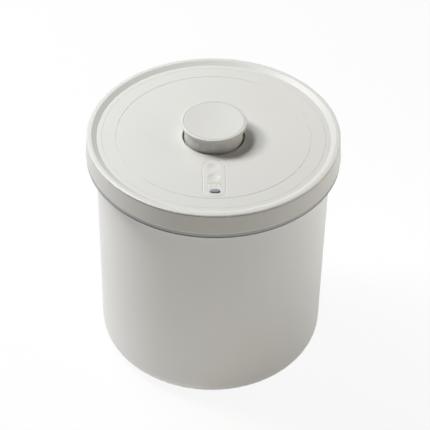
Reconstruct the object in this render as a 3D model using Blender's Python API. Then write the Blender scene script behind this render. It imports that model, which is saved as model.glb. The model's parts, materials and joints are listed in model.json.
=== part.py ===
"""Rice storage container with a hand vacuum pump in its lid.

The pot stands on a soft ring. The lid drops over its mouth: an outer cover with a sunk panel, a base
plate under it, and a soft gasket that hugs the pot below the skirt. The raised knob in the middle is
the pump handle. It carries the piston of a small pump that hangs under the lid. In front of the knob
lies a pill-shaped valve cover with a finger dish, a release button and a vacuum indicator pin.

Lengths are metres, +Z is up, and the valve cover faces -Y. The pot is modelled from the surface that
it stands on. The lid and what it carries are modelled from the flat top of the lid's rim.
"""

import math

import bmesh
import bpy

# Facets round a full turn
LARGE_SEGMENTS = 36
MEDIUM_SEGMENTS = 24
SMALL_SEGMENTS = 16
SCREW_SEGMENTS = 8
HOLE_SEGMENTS = 6

# Fits
SEAT_GAP = 0.0003
SLIDE_GAP = 0.0004
ROOT_OVERLAP = 0.0008
CUT_MARGIN = 0.001

# Pot
POT_MOUTH_RADIUS = 0.1068
POT_TAPER = 0.0020
POT_HEIGHT = 0.2221
POT_WALL = 0.0030
POT_FLOOR = 0.0036
POT_FILLET = 0.0208
POT_RIM_ROUND = 0.0012
POT_NECK_HEIGHT = 0.0110
UNDERSIDE_RECESS = 0.0015
FOOT_RING_INSET = 0.0040
FOOT_RING_WIDTH = 0.0080
FOOT_RING_INNER_EDGE = 0.0060
FOOT_RING_SOCKET = 0.0016
FOOT_RING_PROUD = 0.0006
FOOT_RING_BEVEL = 0.0003

# Lid cover
LID_OVERHANG = 0.0092
LID_SKIRT_DRAFT = 0.0010
LID_SKIRT_DEPTH = 0.0206
LID_WALL = 0.0021
LID_EDGE_ROUND = 0.0016
RIM_WIDTH = 0.0045
RIM_SLOPE = 0.0048
RIM_SHELF = 0.0045
PANEL_DROP = 0.0026
LEDGE_WIDTH = 0.0040
LEDGE_THICKNESS = 0.0020

# Top panel
PANEL_THICKNESS = 0.0020
PANEL_LINE_INSET = 0.0129
PANEL_LINE_WIDTH = 0.0006
PANEL_LINE_DEPTH = 0.0004
BORE_RADIUS = 0.0285
BORE_EDGE = 0.0005
COLLAR_WALL = 0.0018
GUIDE_HEIGHT = 0.0022

# Lid base
BASE_DEPTH = 0.0120
BASE_THICKNESS = 0.0020
BASE_LEG = 0.0060
BASE_LEG_WALL = 0.0020
SPIGOT_DEPTH = 0.0060
SPIGOT_WALL = 0.0020
SPIGOT_CLEARANCE = 0.0010
SPIGOT_LEAD = 0.0007
WELL_WALL = 0.0020
RIB_COUNT = 8
RIB_THICKNESS = 0.0016
RIB_HEIGHT = 0.0030

# Gasket
GASKET_BAND = 0.0041
GASKET_SETBACK = 0.0004
GASKET_RIB_WIDTH = 0.0027
GASKET_EDGE_ROUND = 0.0012

# Lid screws
LID_SCREW_COUNT = 4
LID_SCREW_INSET = 0.0042
LID_SCREW_RADIUS = 0.0011
LID_SCREW_HEAD_RADIUS = 0.0028
LID_SCREW_HEAD = 0.0017
LID_SCREW_HEAD_BEVEL = 0.0008
LID_SCREW_LENGTH = 0.0068
LID_BOSS_RADIUS = 0.0035

# Knob
KNOB_OVERHANG = 0.0014
KNOB_NECK = 0.0010
KNOB_FLANGE = 0.0032
KNOB_RIM = 0.0024
KNOB_EDGE_ROUND = 0.0013
KNOB_LIP_BEVEL = 0.0003
KNOB_PLATE = 0.0022
BARREL_CLEARANCE = 0.0020
BARREL_WALL = 0.0018
BARREL_OVERLAP = 0.0013
CAP_THICKNESS = 0.0022
CAP_STEP = 0.0005
CAP_LIP = 0.0011
CAP_DISH = 0.0010
KNOB_BOSS_WALL = 0.0027
KNOB_BOSS = 0.0035
PRESS_TRAVEL = 0.0125
PRESS_CLEARANCE = 0.0006
FLANGE_CLEARANCE = 0.0011

# Pump
CYLINDER_CLEARANCE = 0.0005
CYLINDER_WALL = 0.0020
CHAMBER_REST = 0.0057
CYLINDER_FLOOR = 0.0020
CYLINDER_FLANGE_CLEARANCE = 0.0006
CYLINDER_FLANGE = 0.0020
CYLINDER_CAP = 0.0020
CYLINDER_CAP_SPIGOT = 0.0023
CYLINDER_CAP_SPIGOT_WALL = 0.0017
CAP_VENT_COUNT = 6
CAP_VENT_RADIUS = 0.0012
SEAL_HEIGHT = 0.0010
NUT_OVERHANG = 0.0005
NUT_HEIGHT = 0.0040
NUT_CHAMFER = 0.0008
NUT_NOTCH_COUNT = 6
NUT_NOTCH_RADIUS = 0.0022

# Piston
PISTON_CLEARANCE = 0.0009
PISTON_THICKNESS = 0.0060
PISTON_RING_DEPTH = 0.0017
PISTON_RING_HEIGHT = 0.0028
PISTON_RING_CROWN = 0.0007
ROD_RADIUS = 0.0050
ROD_CLEARANCE = 0.0004
EXHAUST_FLAP_MARGIN = 0.0035
EXHAUST_FLAP_CLEARANCE = 0.0010
EXHAUST_FLAP = 0.0008
EXHAUST_POCKET_DEPTH = 0.0015
EXHAUST_HOLE_COUNT = 6
EXHAUST_HOLE_RADIUS = 0.0011
EXHAUST_HOLE_INSET = 0.0050
SPRING_POCKET_DEPTH = 0.0013

# Return spring
SPRING_INSET = 0.0072
SPRING_CLEARANCE = 0.0010
SPRING_WIRE_RADIUS = 0.0006
SPRING_TURNS = 4.5

# Rise of a spring's flat end turn, as a share of its wire's radius
CLOSED_TURN_PITCH = 2.2

# Knob screw
KNOB_SCREW_RADIUS = 0.0019
KNOB_SCREW_HEAD_RADIUS = 0.0036
KNOB_SCREW_HEAD = 0.0009
KNOB_SCREW_LENGTH = 0.0120

# Inlet valve and filter
INLET_FLAP_MARGIN = 0.0026
INLET_FLAP = 0.0005
INLET_CROWN = 0.0007
INLET_STEM_RADIUS = 0.0013
INLET_BULB_GRIP = 0.0008
INLET_BULB = 0.0017
INLET_HOLE_COUNT = 6
INLET_HOLE_RADIUS = 0.0010
INLET_HOLE_INSET = 0.0029
FILTER_WALL = 0.0015
FILTER_DEPTH = 0.0040
FILTER_EDGE = 0.0010
FILTER_SLOT_COUNT = 12
FILTER_SLOT_WIDTH = 0.0015
FILTER_SLOT_INNER = 0.0090
FILTER_SLOT_INSET = 0.0035

# Valve cover
COVER_GAP = 0.0067
COVER_HALF_WIDTH = 0.0100
COVER_HALF_LENGTH = 0.0254
COVER_THICKNESS = 0.0035
COVER_FLANGE_WIDTH = 0.0015
COVER_END_SEGMENTS = 10
FINGER_DISH_MARGIN = 0.0095
FINGER_DISH_RADIUS = 0.0058
FINGER_DISH = 0.0006
DIMPLE_RADIUS = 0.0028
DIMPLE = 0.0004

# Release button
RELEASE_PITCH = 0.0152
RELEASE_RADIUS = 0.0058
RELEASE_DISH = 0.0006
RELEASE_EDGE = 0.0003
RELEASE_FLANGE_WIDTH = 0.0012
RELEASE_FLANGE = 0.0012
RELEASE_STEM_RADIUS = 0.0018
RELEASE_PORT_CLEARANCE = 0.0008
RELEASE_SEAL_MARGIN = 0.0024
RELEASE_SEAL = 0.0008
POPPET_THICKNESS = 0.0016
POPPET_BEVEL = 0.0004
RELEASE_SPRING_INSET = 0.0018
RELEASE_WIRE_RADIUS = 0.0003
RELEASE_TURNS = 3.5

# Vacuum indicator
PIN_END_MARGIN = 0.0072
PIN_OFFSET = 0.0007
PIN_HALF_WIDTH = 0.0042
PIN_HALF_DEPTH = 0.0021
PIN_PROUD = 0.0012
PIN_FLANGE_WIDTH = 0.0013
PIN_FLANGE = 0.0010
PIN_FOOT_RADIUS = 0.0013
DIAPHRAGM_RIM_WIDTH = 0.0025
DIAPHRAGM_DOME = 0.0010
DIAPHRAGM_SKIN = 0.0007
DIAPHRAGM_PORT_RADIUS = 0.0022
DIAPHRAGM_DOME_MARGIN = 0.0018

# Heights that several pieces share, counted from the lid's rim
PANEL_TOP = -PANEL_DROP
PANEL_UNDER = PANEL_TOP - PANEL_THICKNESS
BASE_TOP = -BASE_DEPTH
BASE_UNDER = BASE_TOP - BASE_THICKNESS
COVER_UNDER = PANEL_TOP - COVER_THICKNESS
COVER_FLANGE_TOP = PANEL_UNDER - SEAT_GAP
FLANGE_STOP = COVER_UNDER - SEAT_GAP
KNOB_TOP = PANEL_TOP + PRESS_TRAVEL + FLANGE_CLEARANCE + KNOB_FLANGE
KNOB_RECESS_FLOOR = KNOB_TOP - CAP_STEP - CAP_THICKNESS - SEAT_GAP
KNOB_PLATE_UNDER = KNOB_RECESS_FLOOR - KNOB_PLATE
KNOB_BOSS_END = KNOB_PLATE_UNDER - KNOB_BOSS
BARREL_END = BASE_TOP + SEAT_GAP - BARREL_OVERLAP
CYLINDER_FLANGE_TOP = BARREL_END - PRESS_TRAVEL - PRESS_CLEARANCE
CYLINDER_FLANGE_UNDER = CYLINDER_FLANGE_TOP - CYLINDER_FLANGE
WELL_FLOOR = CYLINDER_FLANGE_UNDER - SEAL_HEIGHT - 2 * SEAT_GAP
WELL_UNDER = WELL_FLOOR - WELL_WALL
CAP_TOP = KNOB_BOSS_END - PRESS_TRAVEL - PRESS_CLEARANCE
CAP_UNDER = CAP_TOP - CYLINDER_CAP
CAP_SPIGOT_END = CAP_UNDER - CYLINDER_CAP_SPIGOT
PISTON_TOP = CAP_SPIGOT_END - SEAT_GAP
PISTON_UNDER = PISTON_TOP - PISTON_THICKNESS
SPRING_SEAT = PISTON_UNDER + SPRING_POCKET_DEPTH
CHAMBER_FLOOR = PISTON_UNDER - PRESS_TRAVEL - CHAMBER_REST
CHAMBER_UNDER = CHAMBER_FLOOR - CYLINDER_FLOOR
NUT_TOP = WELL_UNDER - SEAT_GAP
NUT_UNDER = NUT_TOP - NUT_HEIGHT
LID_HEIGHT = FOOT_RING_PROUD + POT_HEIGHT + SEAT_GAP - BASE_UNDER

# Radii that several pieces share, from the pot outwards and from the bore inwards
POT_BASE_RADIUS = POT_MOUTH_RADIUS - POT_TAPER
FOOT_RING_OUTER = POT_BASE_RADIUS - POT_FILLET - FOOT_RING_INSET
FOOT_RING_INNER = FOOT_RING_OUTER - FOOT_RING_WIDTH
UNDERSIDE_RECESS_RADIUS = FOOT_RING_INNER - FOOT_RING_INNER_EDGE
LID_SKIRT_RADIUS = POT_MOUTH_RADIUS + LID_OVERHANG
LID_TOP_RADIUS = LID_SKIRT_RADIUS - LID_SKIRT_DRAFT
RIM_INNER_RADIUS = LID_TOP_RADIUS - RIM_WIDTH
RIM_FOOT_RADIUS = RIM_INNER_RADIUS - RIM_SLOPE
PANEL_RADIUS = RIM_FOOT_RADIUS - RIM_SHELF
PANEL_LINE_RADIUS = PANEL_RADIUS - PANEL_LINE_INSET
LID_SCREW_CIRCLE = PANEL_RADIUS - LID_SCREW_INSET
SCREW_CLEARANCE_RADIUS = LID_SCREW_RADIUS + SEAT_GAP
KNOB_RADIUS = BORE_RADIUS + KNOB_OVERHANG
BARREL_RADIUS = BORE_RADIUS - BARREL_CLEARANCE
BARREL_INNER = BARREL_RADIUS - BARREL_WALL
CYLINDER_OUTER = BARREL_INNER - CYLINDER_CLEARANCE
CYLINDER_RADIUS = CYLINDER_OUTER - CYLINDER_WALL
CYLINDER_PASSAGE = CYLINDER_OUTER + SEAT_GAP
CYLINDER_FLANGE_RADIUS = BORE_RADIUS - CYLINDER_FLANGE_CLEARANCE
NUT_RADIUS = BORE_RADIUS + NUT_OVERHANG
PISTON_RADIUS = CYLINDER_RADIUS - PISTON_CLEARANCE
SPRING_RADIUS = CYLINDER_RADIUS - SPRING_INSET
CAP_VENT_CIRCLE = (ROD_RADIUS + CYLINDER_RADIUS) / 2
EXHAUST_HOLE_CIRCLE = ROD_RADIUS + EXHAUST_HOLE_INSET
EXHAUST_FLAP_RADIUS = EXHAUST_HOLE_CIRCLE + EXHAUST_FLAP_MARGIN
KNOB_SCREW_HOLE = KNOB_SCREW_RADIUS + SEAT_GAP
KNOB_BOSS_RADIUS = ROD_RADIUS + SEAT_GAP + KNOB_BOSS_WALL
INLET_HOLE_CIRCLE = INLET_STEM_RADIUS + INLET_HOLE_INSET
INLET_FLAP_RADIUS = INLET_HOLE_CIRCLE + INLET_FLAP_MARGIN
INLET_BULB_RADIUS = INLET_STEM_RADIUS + INLET_BULB_GRIP
FILTER_SLOT_OUTER = CYLINDER_PASSAGE - FILTER_SLOT_INSET
RELEASE_FLANGE_RADIUS = RELEASE_RADIUS + RELEASE_FLANGE_WIDTH
RELEASE_SPRING_RADIUS = RELEASE_RADIUS - RELEASE_SPRING_INSET
RELEASE_PORT_RADIUS = RELEASE_STEM_RADIUS + RELEASE_PORT_CLEARANCE
RELEASE_SEAL_RADIUS = RELEASE_PORT_RADIUS + RELEASE_SEAL_MARGIN
DIAPHRAGM_DOME_RADIUS = DIAPHRAGM_PORT_RADIUS + DIAPHRAGM_DOME_MARGIN
DIAPHRAGM_RADIUS = DIAPHRAGM_DOME_RADIUS + DIAPHRAGM_RIM_WIDTH

# Places along the valve cover, in front of the knob
COVER_CENTRE = BORE_RADIUS + COVER_GAP + COVER_HALF_LENGTH
FINGER_DISH_PLACE = (0.0, -(COVER_CENTRE - COVER_HALF_LENGTH + FINGER_DISH_MARGIN))
RELEASE_PLACE = (0.0, FINGER_DISH_PLACE[1] - RELEASE_PITCH)
PIN_PLACE = (PIN_OFFSET, -(COVER_CENTRE + COVER_HALF_LENGTH - PIN_END_MARGIN))


def clear_scene():
    for obj in list(bpy.data.objects):
        bpy.data.objects.remove(obj)


def make_material(name, colour, roughness, metallic=0.0):
    material = bpy.data.materials.new(name)
    material.use_nodes = True
    shader = material.node_tree.nodes["Principled BSDF"]
    shader.inputs["Base Color"].default_value = (*colour, 1.0)
    shader.inputs["Roughness"].default_value = roughness
    shader.inputs["Metallic"].default_value = metallic
    return material


def make_empty(name, location, parent=None):
    empty = bpy.data.objects.new(name, None)
    empty.location = location
    empty.parent = parent
    bpy.context.scene.collection.objects.link(empty)
    return empty


def finish_mesh(name, bm, parent, material):
    """Turns a bmesh into a named object with smooth round faces and crisp edges."""
    bmesh.ops.recalc_face_normals(bm, faces=bm.faces)
    mesh = bpy.data.meshes.new(name)
    bm.to_mesh(mesh)
    bm.free()
    mesh.shade_smooth()
    mesh.set_sharp_from_angle(angle=math.radians(30))
    if material:
        mesh.materials.append(material)
    obj = bpy.data.objects.new(name, mesh)
    obj.parent = parent
    bpy.context.scene.collection.objects.link(obj)
    return obj


def arc(centre, radius, start, end, steps):
    """Points of a circular arc in the r, z plane, with angles in degrees."""
    points = []
    for i in range(steps + 1):
        angle = math.radians(start + (end - start) * i / steps)
        points.append((centre[0] + radius * math.cos(angle), centre[1] + radius * math.sin(angle)))
    return points


def dish(radius, edge_height, depth, steps):
    """A shallow dish from the edge to the axis, as part of a sphere."""
    sphere = (radius**2 + depth**2) / (2 * depth)
    bottom = edge_height - depth
    points = []
    for i in range(steps + 1):
        r = radius * (1 - i / steps)
        points.append((r, bottom + sphere - math.sqrt(sphere**2 - r**2)))
    return points


def spin_profile(bm, profile, segments, centre=(0.0, 0.0)):
    """Spins a profile of (r, z) points about a vertical axis. A profile that leaves the axis is closed."""
    verts = [bm.verts.new((r + centre[0], centre[1], z)) for r, z in profile]
    edges = [bm.edges.new(pair) for pair in zip(verts, verts[1:])]
    if profile[0][0] > 0 or profile[-1][0] > 0:
        edges.append(bm.edges.new((verts[-1], verts[0])))
    bmesh.ops.spin(
        bm,
        geom=verts + edges,
        cent=(*centre, 0.0),
        axis=(0, 0, 1),
        angle=math.tau,
        steps=segments,
        use_merge=True,
    )
    bmesh.ops.remove_doubles(bm, verts=bm.verts, dist=1e-6)


def revolved(name, profile, segments, parent, material):
    bm = bmesh.new()
    spin_profile(bm, profile, segments)
    return finish_mesh(name, bm, parent, material)


def on_circle(radius, count, start=0.0):
    """Points spaced evenly round a circle, the first at the start angle in degrees."""
    points = []
    for i in range(count):
        angle = math.radians(start) + math.tau * i / count
        points.append((radius * math.cos(angle), radius * math.sin(angle)))
    return points


def posts(name, centres, radius, low, high, segments, parent):
    """Upright cylinders in one mesh, used as bosses or as cutters for holes."""
    bm = bmesh.new()
    for centre in centres:
        profile = [(0.0, low), (radius, low), (radius, high), (0.0, high)]
        spin_profile(bm, profile, segments, centre)
    return finish_mesh(name, bm, parent, None)


def spokes(name, count, start, inner, outer, thickness, low, high, parent):
    """Radial bars in one mesh, used as ribs or as cutters for slots."""
    bm = bmesh.new()
    for i in range(count):
        angle = math.radians(start) + math.tau * i / count
        along = (math.cos(angle), math.sin(angle))
        across = (-along[1] * thickness / 2, along[0] * thickness / 2)
        corners = []
        for r, side in ((inner, -1), (outer, -1), (outer, 1), (inner, 1)):
            corners.append((along[0] * r + across[0] * side, along[1] * r + across[1] * side))
        raise_outline(bm, corners, low, high)
    return finish_mesh(name, bm, parent, None)


def raise_outline(bm, outline, low, high):
    """Extrudes a closed outline from low to high and returns its top face."""
    base = bm.faces.new([bm.verts.new((x, y, low)) for x, y in outline])
    grown = bmesh.ops.extrude_face_region(bm, geom=[base])
    verts = [item for item in grown["geom"] if isinstance(item, bmesh.types.BMVert)]
    bmesh.ops.translate(bm, verts=verts, vec=(0, 0, high - low))
    return next(item for item in grown["geom"] if isinstance(item, bmesh.types.BMFace))


def pill_outline(half_length, half_width, centre=(0.0, 0.0)):
    """A bar with round ends along Y. Swapped sizes lay it along X."""
    along_x = half_width > half_length
    reach = abs(half_length - half_width)
    end = min(half_length, half_width)
    points = []
    for side, start in ((1, 0), (-1, 180)):
        for i in range(COVER_END_SEGMENTS + 1):
            angle = math.radians(start + 180 * i / COVER_END_SEGMENTS)
            x, y = end * math.cos(angle), end * math.sin(angle) + side * reach
            points.append((y, -x) if along_x else (x, y))
    return [(x + centre[0], y + centre[1]) for x, y in points]


def step_face(bm, face, inset, rise):
    """Insets a face and extrudes the inner part by a rise, returning the new top face."""
    bmesh.ops.inset_region(bm, faces=[face], thickness=inset, use_even_offset=True)
    grown = bmesh.ops.extrude_face_region(bm, geom=[face])
    verts = [item for item in grown["geom"] if isinstance(item, bmesh.types.BMVert)]
    bmesh.ops.translate(bm, verts=verts, vec=(0, 0, rise))
    top = next(item for item in grown["geom"] if isinstance(item, bmesh.types.BMFace))
    bmesh.ops.delete(bm, geom=[face], context="FACES_ONLY")
    return top


def combine(obj, tool, operation):
    """Cuts or joins a hidden tool object into obj."""
    tool.hide_render = True
    tool.display_type = "WIRE"
    modifier = obj.modifiers.new(f"{operation.lower()} {tool.name}", "BOOLEAN")
    modifier.operation = operation
    modifier.object = tool
    modifier.solver = "EXACT"


def coil(name, radius, wire_radius, turns, low, high, points_per_turn, parent, material):
    """A compression spring whose end turns lie flat."""
    curve = bpy.data.curves.new(name, "CURVE")
    curve.dimensions = "3D"
    curve.bevel_depth = wire_radius
    curve.bevel_resolution = 0
    curve.use_fill_caps = True
    count = round(turns * points_per_turn)
    spline = curve.splines.new("POLY")
    spline.points.add(count)
    bottom = low + wire_radius
    top = high - wire_radius
    flat = 1 / turns
    closing = CLOSED_TURN_PITCH * wire_radius
    for i, point in enumerate(spline.points):
        share = i / count
        if share < flat:
            z = bottom + closing * share / flat
        elif share > 1 - flat:
            z = top - closing * (1 - share) / flat
        else:
            middle = (share - flat) / (1 - 2 * flat)
            z = bottom + closing + (top - bottom - 2 * closing) * middle
        angle = math.tau * turns * share
        point.co = (radius * math.cos(angle), radius * math.sin(angle), z, 1.0)
    curve.materials.append(material)
    obj = bpy.data.objects.new(name, curve)
    obj.parent = parent
    bpy.context.scene.collection.objects.link(obj)
    return obj


def skirt_inner(depth):
    """Inner radius of the drafted skirt at a depth below the rim."""
    draft = (LID_SKIRT_RADIUS - LID_TOP_RADIUS) * depth / LID_SKIRT_DEPTH
    return LID_TOP_RADIUS - LID_WALL + draft


def make_pot(material):
    """The pot: drafted wall, large base fillet, rounded rim, and a socket for the foot ring below."""
    under = FOOT_RING_PROUD
    rim = under + POT_HEIGHT
    fillet_centre = POT_BASE_RADIUS - POT_FILLET
    inner_fillet = POT_FILLET - POT_WALL
    floor = under + POT_FLOOR
    mouth_inner = POT_MOUTH_RADIUS - POT_WALL
    neck = rim - POT_NECK_HEIGHT
    profile = [
        (0.0, under + UNDERSIDE_RECESS),
        (UNDERSIDE_RECESS_RADIUS, under + UNDERSIDE_RECESS),
        (UNDERSIDE_RECESS_RADIUS + UNDERSIDE_RECESS, under),
        (FOOT_RING_INNER, under),
        (FOOT_RING_INNER, under + FOOT_RING_SOCKET),
        (FOOT_RING_OUTER, under + FOOT_RING_SOCKET),
        (FOOT_RING_OUTER, under),
    ]
    profile += arc((fillet_centre, under + POT_FILLET), POT_FILLET, -90, 0, 6)
    profile.append((POT_MOUTH_RADIUS, neck))
    rim_centre = rim - POT_RIM_ROUND
    profile += arc((POT_MOUTH_RADIUS - POT_RIM_ROUND, rim_centre), POT_RIM_ROUND, 0, 90, 1)
    profile += arc((mouth_inner + POT_RIM_ROUND, rim_centre), POT_RIM_ROUND, 90, 180, 1)
    profile.append((mouth_inner, neck))
    profile += arc((fillet_centre, floor + inner_fillet), inner_fillet, 0, -90, 4)
    profile.append((0.0, floor))
    return revolved("container_body", profile, LARGE_SEGMENTS, None, material)


def make_foot_ring(material):
    """The soft ring that the pot stands on."""
    inner = FOOT_RING_INNER + SEAT_GAP
    outer = FOOT_RING_OUTER - SEAT_GAP
    top = FOOT_RING_PROUD + FOOT_RING_SOCKET - SEAT_GAP
    bevel = FOOT_RING_BEVEL
    profile = [(inner, top), (inner, bevel), (inner + bevel, 0.0)]
    profile += [(outer - bevel, 0.0), (outer, bevel), (outer, top)]
    return revolved("foot_ring", profile, LARGE_SEGMENTS, None, material)


def make_lid_cover(lid, material):
    """The outer cover: flat rim, sloped inner wall, ledge for the panel, and a drafted skirt."""
    panel_edge = PANEL_RADIUS + SEAT_GAP
    ledge_top = PANEL_UNDER - SEAT_GAP
    ledge_under = ledge_top - LEDGE_THICKNESS
    skirt_end = -LID_SKIRT_DEPTH
    inside_top = -LID_WALL - LID_EDGE_ROUND
    profile = [
        (panel_edge, PANEL_TOP),
        (RIM_FOOT_RADIUS, PANEL_TOP),
        (RIM_INNER_RADIUS, 0.0),
    ]
    profile += arc((LID_TOP_RADIUS - LID_EDGE_ROUND, -LID_EDGE_ROUND), LID_EDGE_ROUND, 90, 0, 3)
    profile += [
        (LID_SKIRT_RADIUS, skirt_end),
        (LID_SKIRT_RADIUS - LID_WALL, skirt_end),
        (skirt_inner(-inside_top), inside_top),
        (LID_TOP_RADIUS - LID_WALL - LID_EDGE_ROUND, -LID_WALL),
        (RIM_INNER_RADIUS, -LID_WALL),
        (RIM_FOOT_RADIUS, PANEL_TOP - LID_WALL),
        (panel_edge + LID_WALL, ledge_under),
        (panel_edge - LEDGE_WIDTH, ledge_under),
        (panel_edge - LEDGE_WIDTH, ledge_top),
        (panel_edge, ledge_top),
    ]
    cover = revolved("lid_cover", profile, LARGE_SEGMENTS, lid, material)
    centres = lid_screw_centres()
    boss_end = BASE_TOP + SEAT_GAP
    bosses = posts("cover_bosses", centres, LID_BOSS_RADIUS, boss_end, ledge_top, SCREW_SEGMENTS, lid)
    combine(cover, bosses, "UNION")
    hole_top = screw_tip() + SEAT_GAP
    holes = posts(
        "boss_holes", centres, SCREW_CLEARANCE_RADIUS, boss_end - CUT_MARGIN, hole_top, SCREW_SEGMENTS, lid
    )
    combine(cover, holes, "DIFFERENCE")
    return cover


def make_top_panel(lid, material):
    """The sunk panel: a moulded ring line, the knob's bore with its collar, and the valve opening."""
    collar_end = BASE_TOP + SEAT_GAP
    guide_radius = BARREL_RADIUS + SLIDE_GAP
    line_inner = PANEL_LINE_RADIUS - PANEL_LINE_WIDTH / 2
    line_outer = PANEL_LINE_RADIUS + PANEL_LINE_WIDTH / 2
    profile = [
        (BORE_RADIUS, PANEL_TOP - BORE_EDGE),
        (BORE_RADIUS + BORE_EDGE, PANEL_TOP),
        (line_inner, PANEL_TOP),
        (PANEL_LINE_RADIUS, PANEL_TOP - PANEL_LINE_DEPTH),
        (line_outer, PANEL_TOP),
        (PANEL_RADIUS, PANEL_TOP),
        (PANEL_RADIUS, PANEL_UNDER),
        (BORE_RADIUS + COLLAR_WALL, PANEL_UNDER),
        (BORE_RADIUS + COLLAR_WALL, collar_end),
        (guide_radius, collar_end),
        (guide_radius, collar_end + GUIDE_HEIGHT),
        (BORE_RADIUS, collar_end + GUIDE_HEIGHT),
    ]
    panel = revolved("top_panel", profile, LARGE_SEGMENTS, lid, material)
    bm = bmesh.new()
    outline = pill_outline(COVER_HALF_LENGTH + SEAT_GAP, COVER_HALF_WIDTH + SEAT_GAP, (0, -COVER_CENTRE))
    raise_outline(bm, outline, PANEL_UNDER - CUT_MARGIN, PANEL_TOP + CUT_MARGIN)
    combine(panel, finish_mesh("valve_opening", bm, lid, None), "DIFFERENCE")
    return panel


def make_lid_base(lid, material):
    """The base plate: gasket leg outside, centring spigot, ribs, and the well that holds the pump."""
    leg_outer = skirt_inner(BASE_DEPTH) - SEAT_GAP
    leg_inner = leg_outer - BASE_LEG_WALL
    leg_end = BASE_TOP - BASE_LEG
    spigot_outer = POT_MOUTH_RADIUS - POT_WALL - SPIGOT_CLEARANCE
    spigot_inner = spigot_outer - SPIGOT_WALL
    spigot_end = BASE_UNDER - SPIGOT_DEPTH
    well_outer = BORE_RADIUS + WELL_WALL
    profile = [
        (CYLINDER_PASSAGE, WELL_FLOOR),
        (BORE_RADIUS, WELL_FLOOR),
        (BORE_RADIUS, BASE_TOP),
        (leg_outer, BASE_TOP),
        (leg_outer, leg_end),
        (leg_inner, leg_end),
        (leg_inner, BASE_UNDER),
        (spigot_outer, BASE_UNDER),
        (spigot_outer, spigot_end + SPIGOT_LEAD),
        (spigot_outer - SPIGOT_LEAD, spigot_end),
        (spigot_inner, spigot_end),
        (spigot_inner, BASE_UNDER),
        (well_outer, BASE_UNDER),
        (well_outer, WELL_UNDER),
        (CYLINDER_PASSAGE, WELL_UNDER),
    ]
    base = revolved("lid_base", profile, LARGE_SEGMENTS, lid, material)
    ribs = spokes(
        "base_ribs",
        RIB_COUNT,
        180 / RIB_COUNT,
        well_outer - ROOT_OVERLAP,
        spigot_inner + ROOT_OVERLAP,
        RIB_THICKNESS,
        BASE_UNDER - RIB_HEIGHT,
        BASE_UNDER + ROOT_OVERLAP,
        lid,
    )
    combine(base, ribs, "UNION")
    low = BASE_UNDER - CUT_MARGIN
    high = BASE_TOP + CUT_MARGIN
    screw_centres = lid_screw_centres()
    openings = (
        ("base_screw_holes", screw_centres, SCREW_CLEARANCE_RADIUS),
        ("release_port", [RELEASE_PLACE], RELEASE_PORT_RADIUS),
        ("indicator_port", [PIN_PLACE], DIAPHRAGM_PORT_RADIUS),
    )
    for name, centres, radius in openings:
        combine(base, posts(name, centres, radius, low, high, SCREW_SEGMENTS, lid), "DIFFERENCE")
    return base


def make_gasket(lid, material):
    """The soft gasket: a rib held inside the base's leg, and a band that shows below the skirt."""
    rib_outer = skirt_inner(BASE_DEPTH) - SEAT_GAP - BASE_LEG_WALL - SEAT_GAP
    rib_inner = rib_outer - GASKET_RIB_WIDTH
    band_inner = POT_MOUTH_RADIUS + SEAT_GAP
    band_outer = LID_SKIRT_RADIUS - GASKET_SETBACK
    band_top = -LID_SKIRT_DEPTH - SEAT_GAP
    band_end = band_top - GASKET_BAND
    profile = [
        (rib_inner, BASE_UNDER - SEAT_GAP),
        (rib_outer, BASE_UNDER - SEAT_GAP),
        (rib_outer, band_top),
        (band_outer, band_top),
    ]
    centre = (band_outer - GASKET_EDGE_ROUND, band_end + GASKET_EDGE_ROUND)
    profile += arc(centre, GASKET_EDGE_ROUND, 0, -90, 3)
    profile += [(band_inner, band_end), (band_inner, band_top), (rib_inner, band_top)]
    return revolved("lid_gasket", profile, LARGE_SEGMENTS, lid, material)


def lid_screw_centres():
    """Places of the lid screws, with none in front where the indicator lies."""
    return on_circle(LID_SCREW_CIRCLE, LID_SCREW_COUNT, 180 / LID_SCREW_COUNT)


def screw_tip():
    """Height of the lid screws' upper ends."""
    return BASE_UNDER - SEAT_GAP + LID_SCREW_LENGTH


def make_lid_screws(lid, material):
    """Screws that hold the base to the cover, driven from below."""
    seat = BASE_UNDER - SEAT_GAP
    head_end = seat - LID_SCREW_HEAD
    profile = [
        (0.0, head_end),
        (LID_SCREW_HEAD_RADIUS - LID_SCREW_HEAD_BEVEL, head_end),
        (LID_SCREW_HEAD_RADIUS, head_end + LID_SCREW_HEAD_BEVEL),
        (LID_SCREW_HEAD_RADIUS, seat),
        (LID_SCREW_RADIUS, seat),
        (LID_SCREW_RADIUS, screw_tip()),
        (0.0, screw_tip()),
    ]
    first = revolved("lid_screw_1", profile, SCREW_SEGMENTS, lid, material)
    centres = lid_screw_centres()
    first.location = (*centres[0], 0.0)
    for number, centre in enumerate(centres[1:], start=2):
        copy = bpy.data.objects.new(f"lid_screw_{number}", first.data)
        copy.location = (*centre, 0.0)
        copy.parent = lid
        bpy.context.scene.collection.objects.link(copy)


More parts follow.
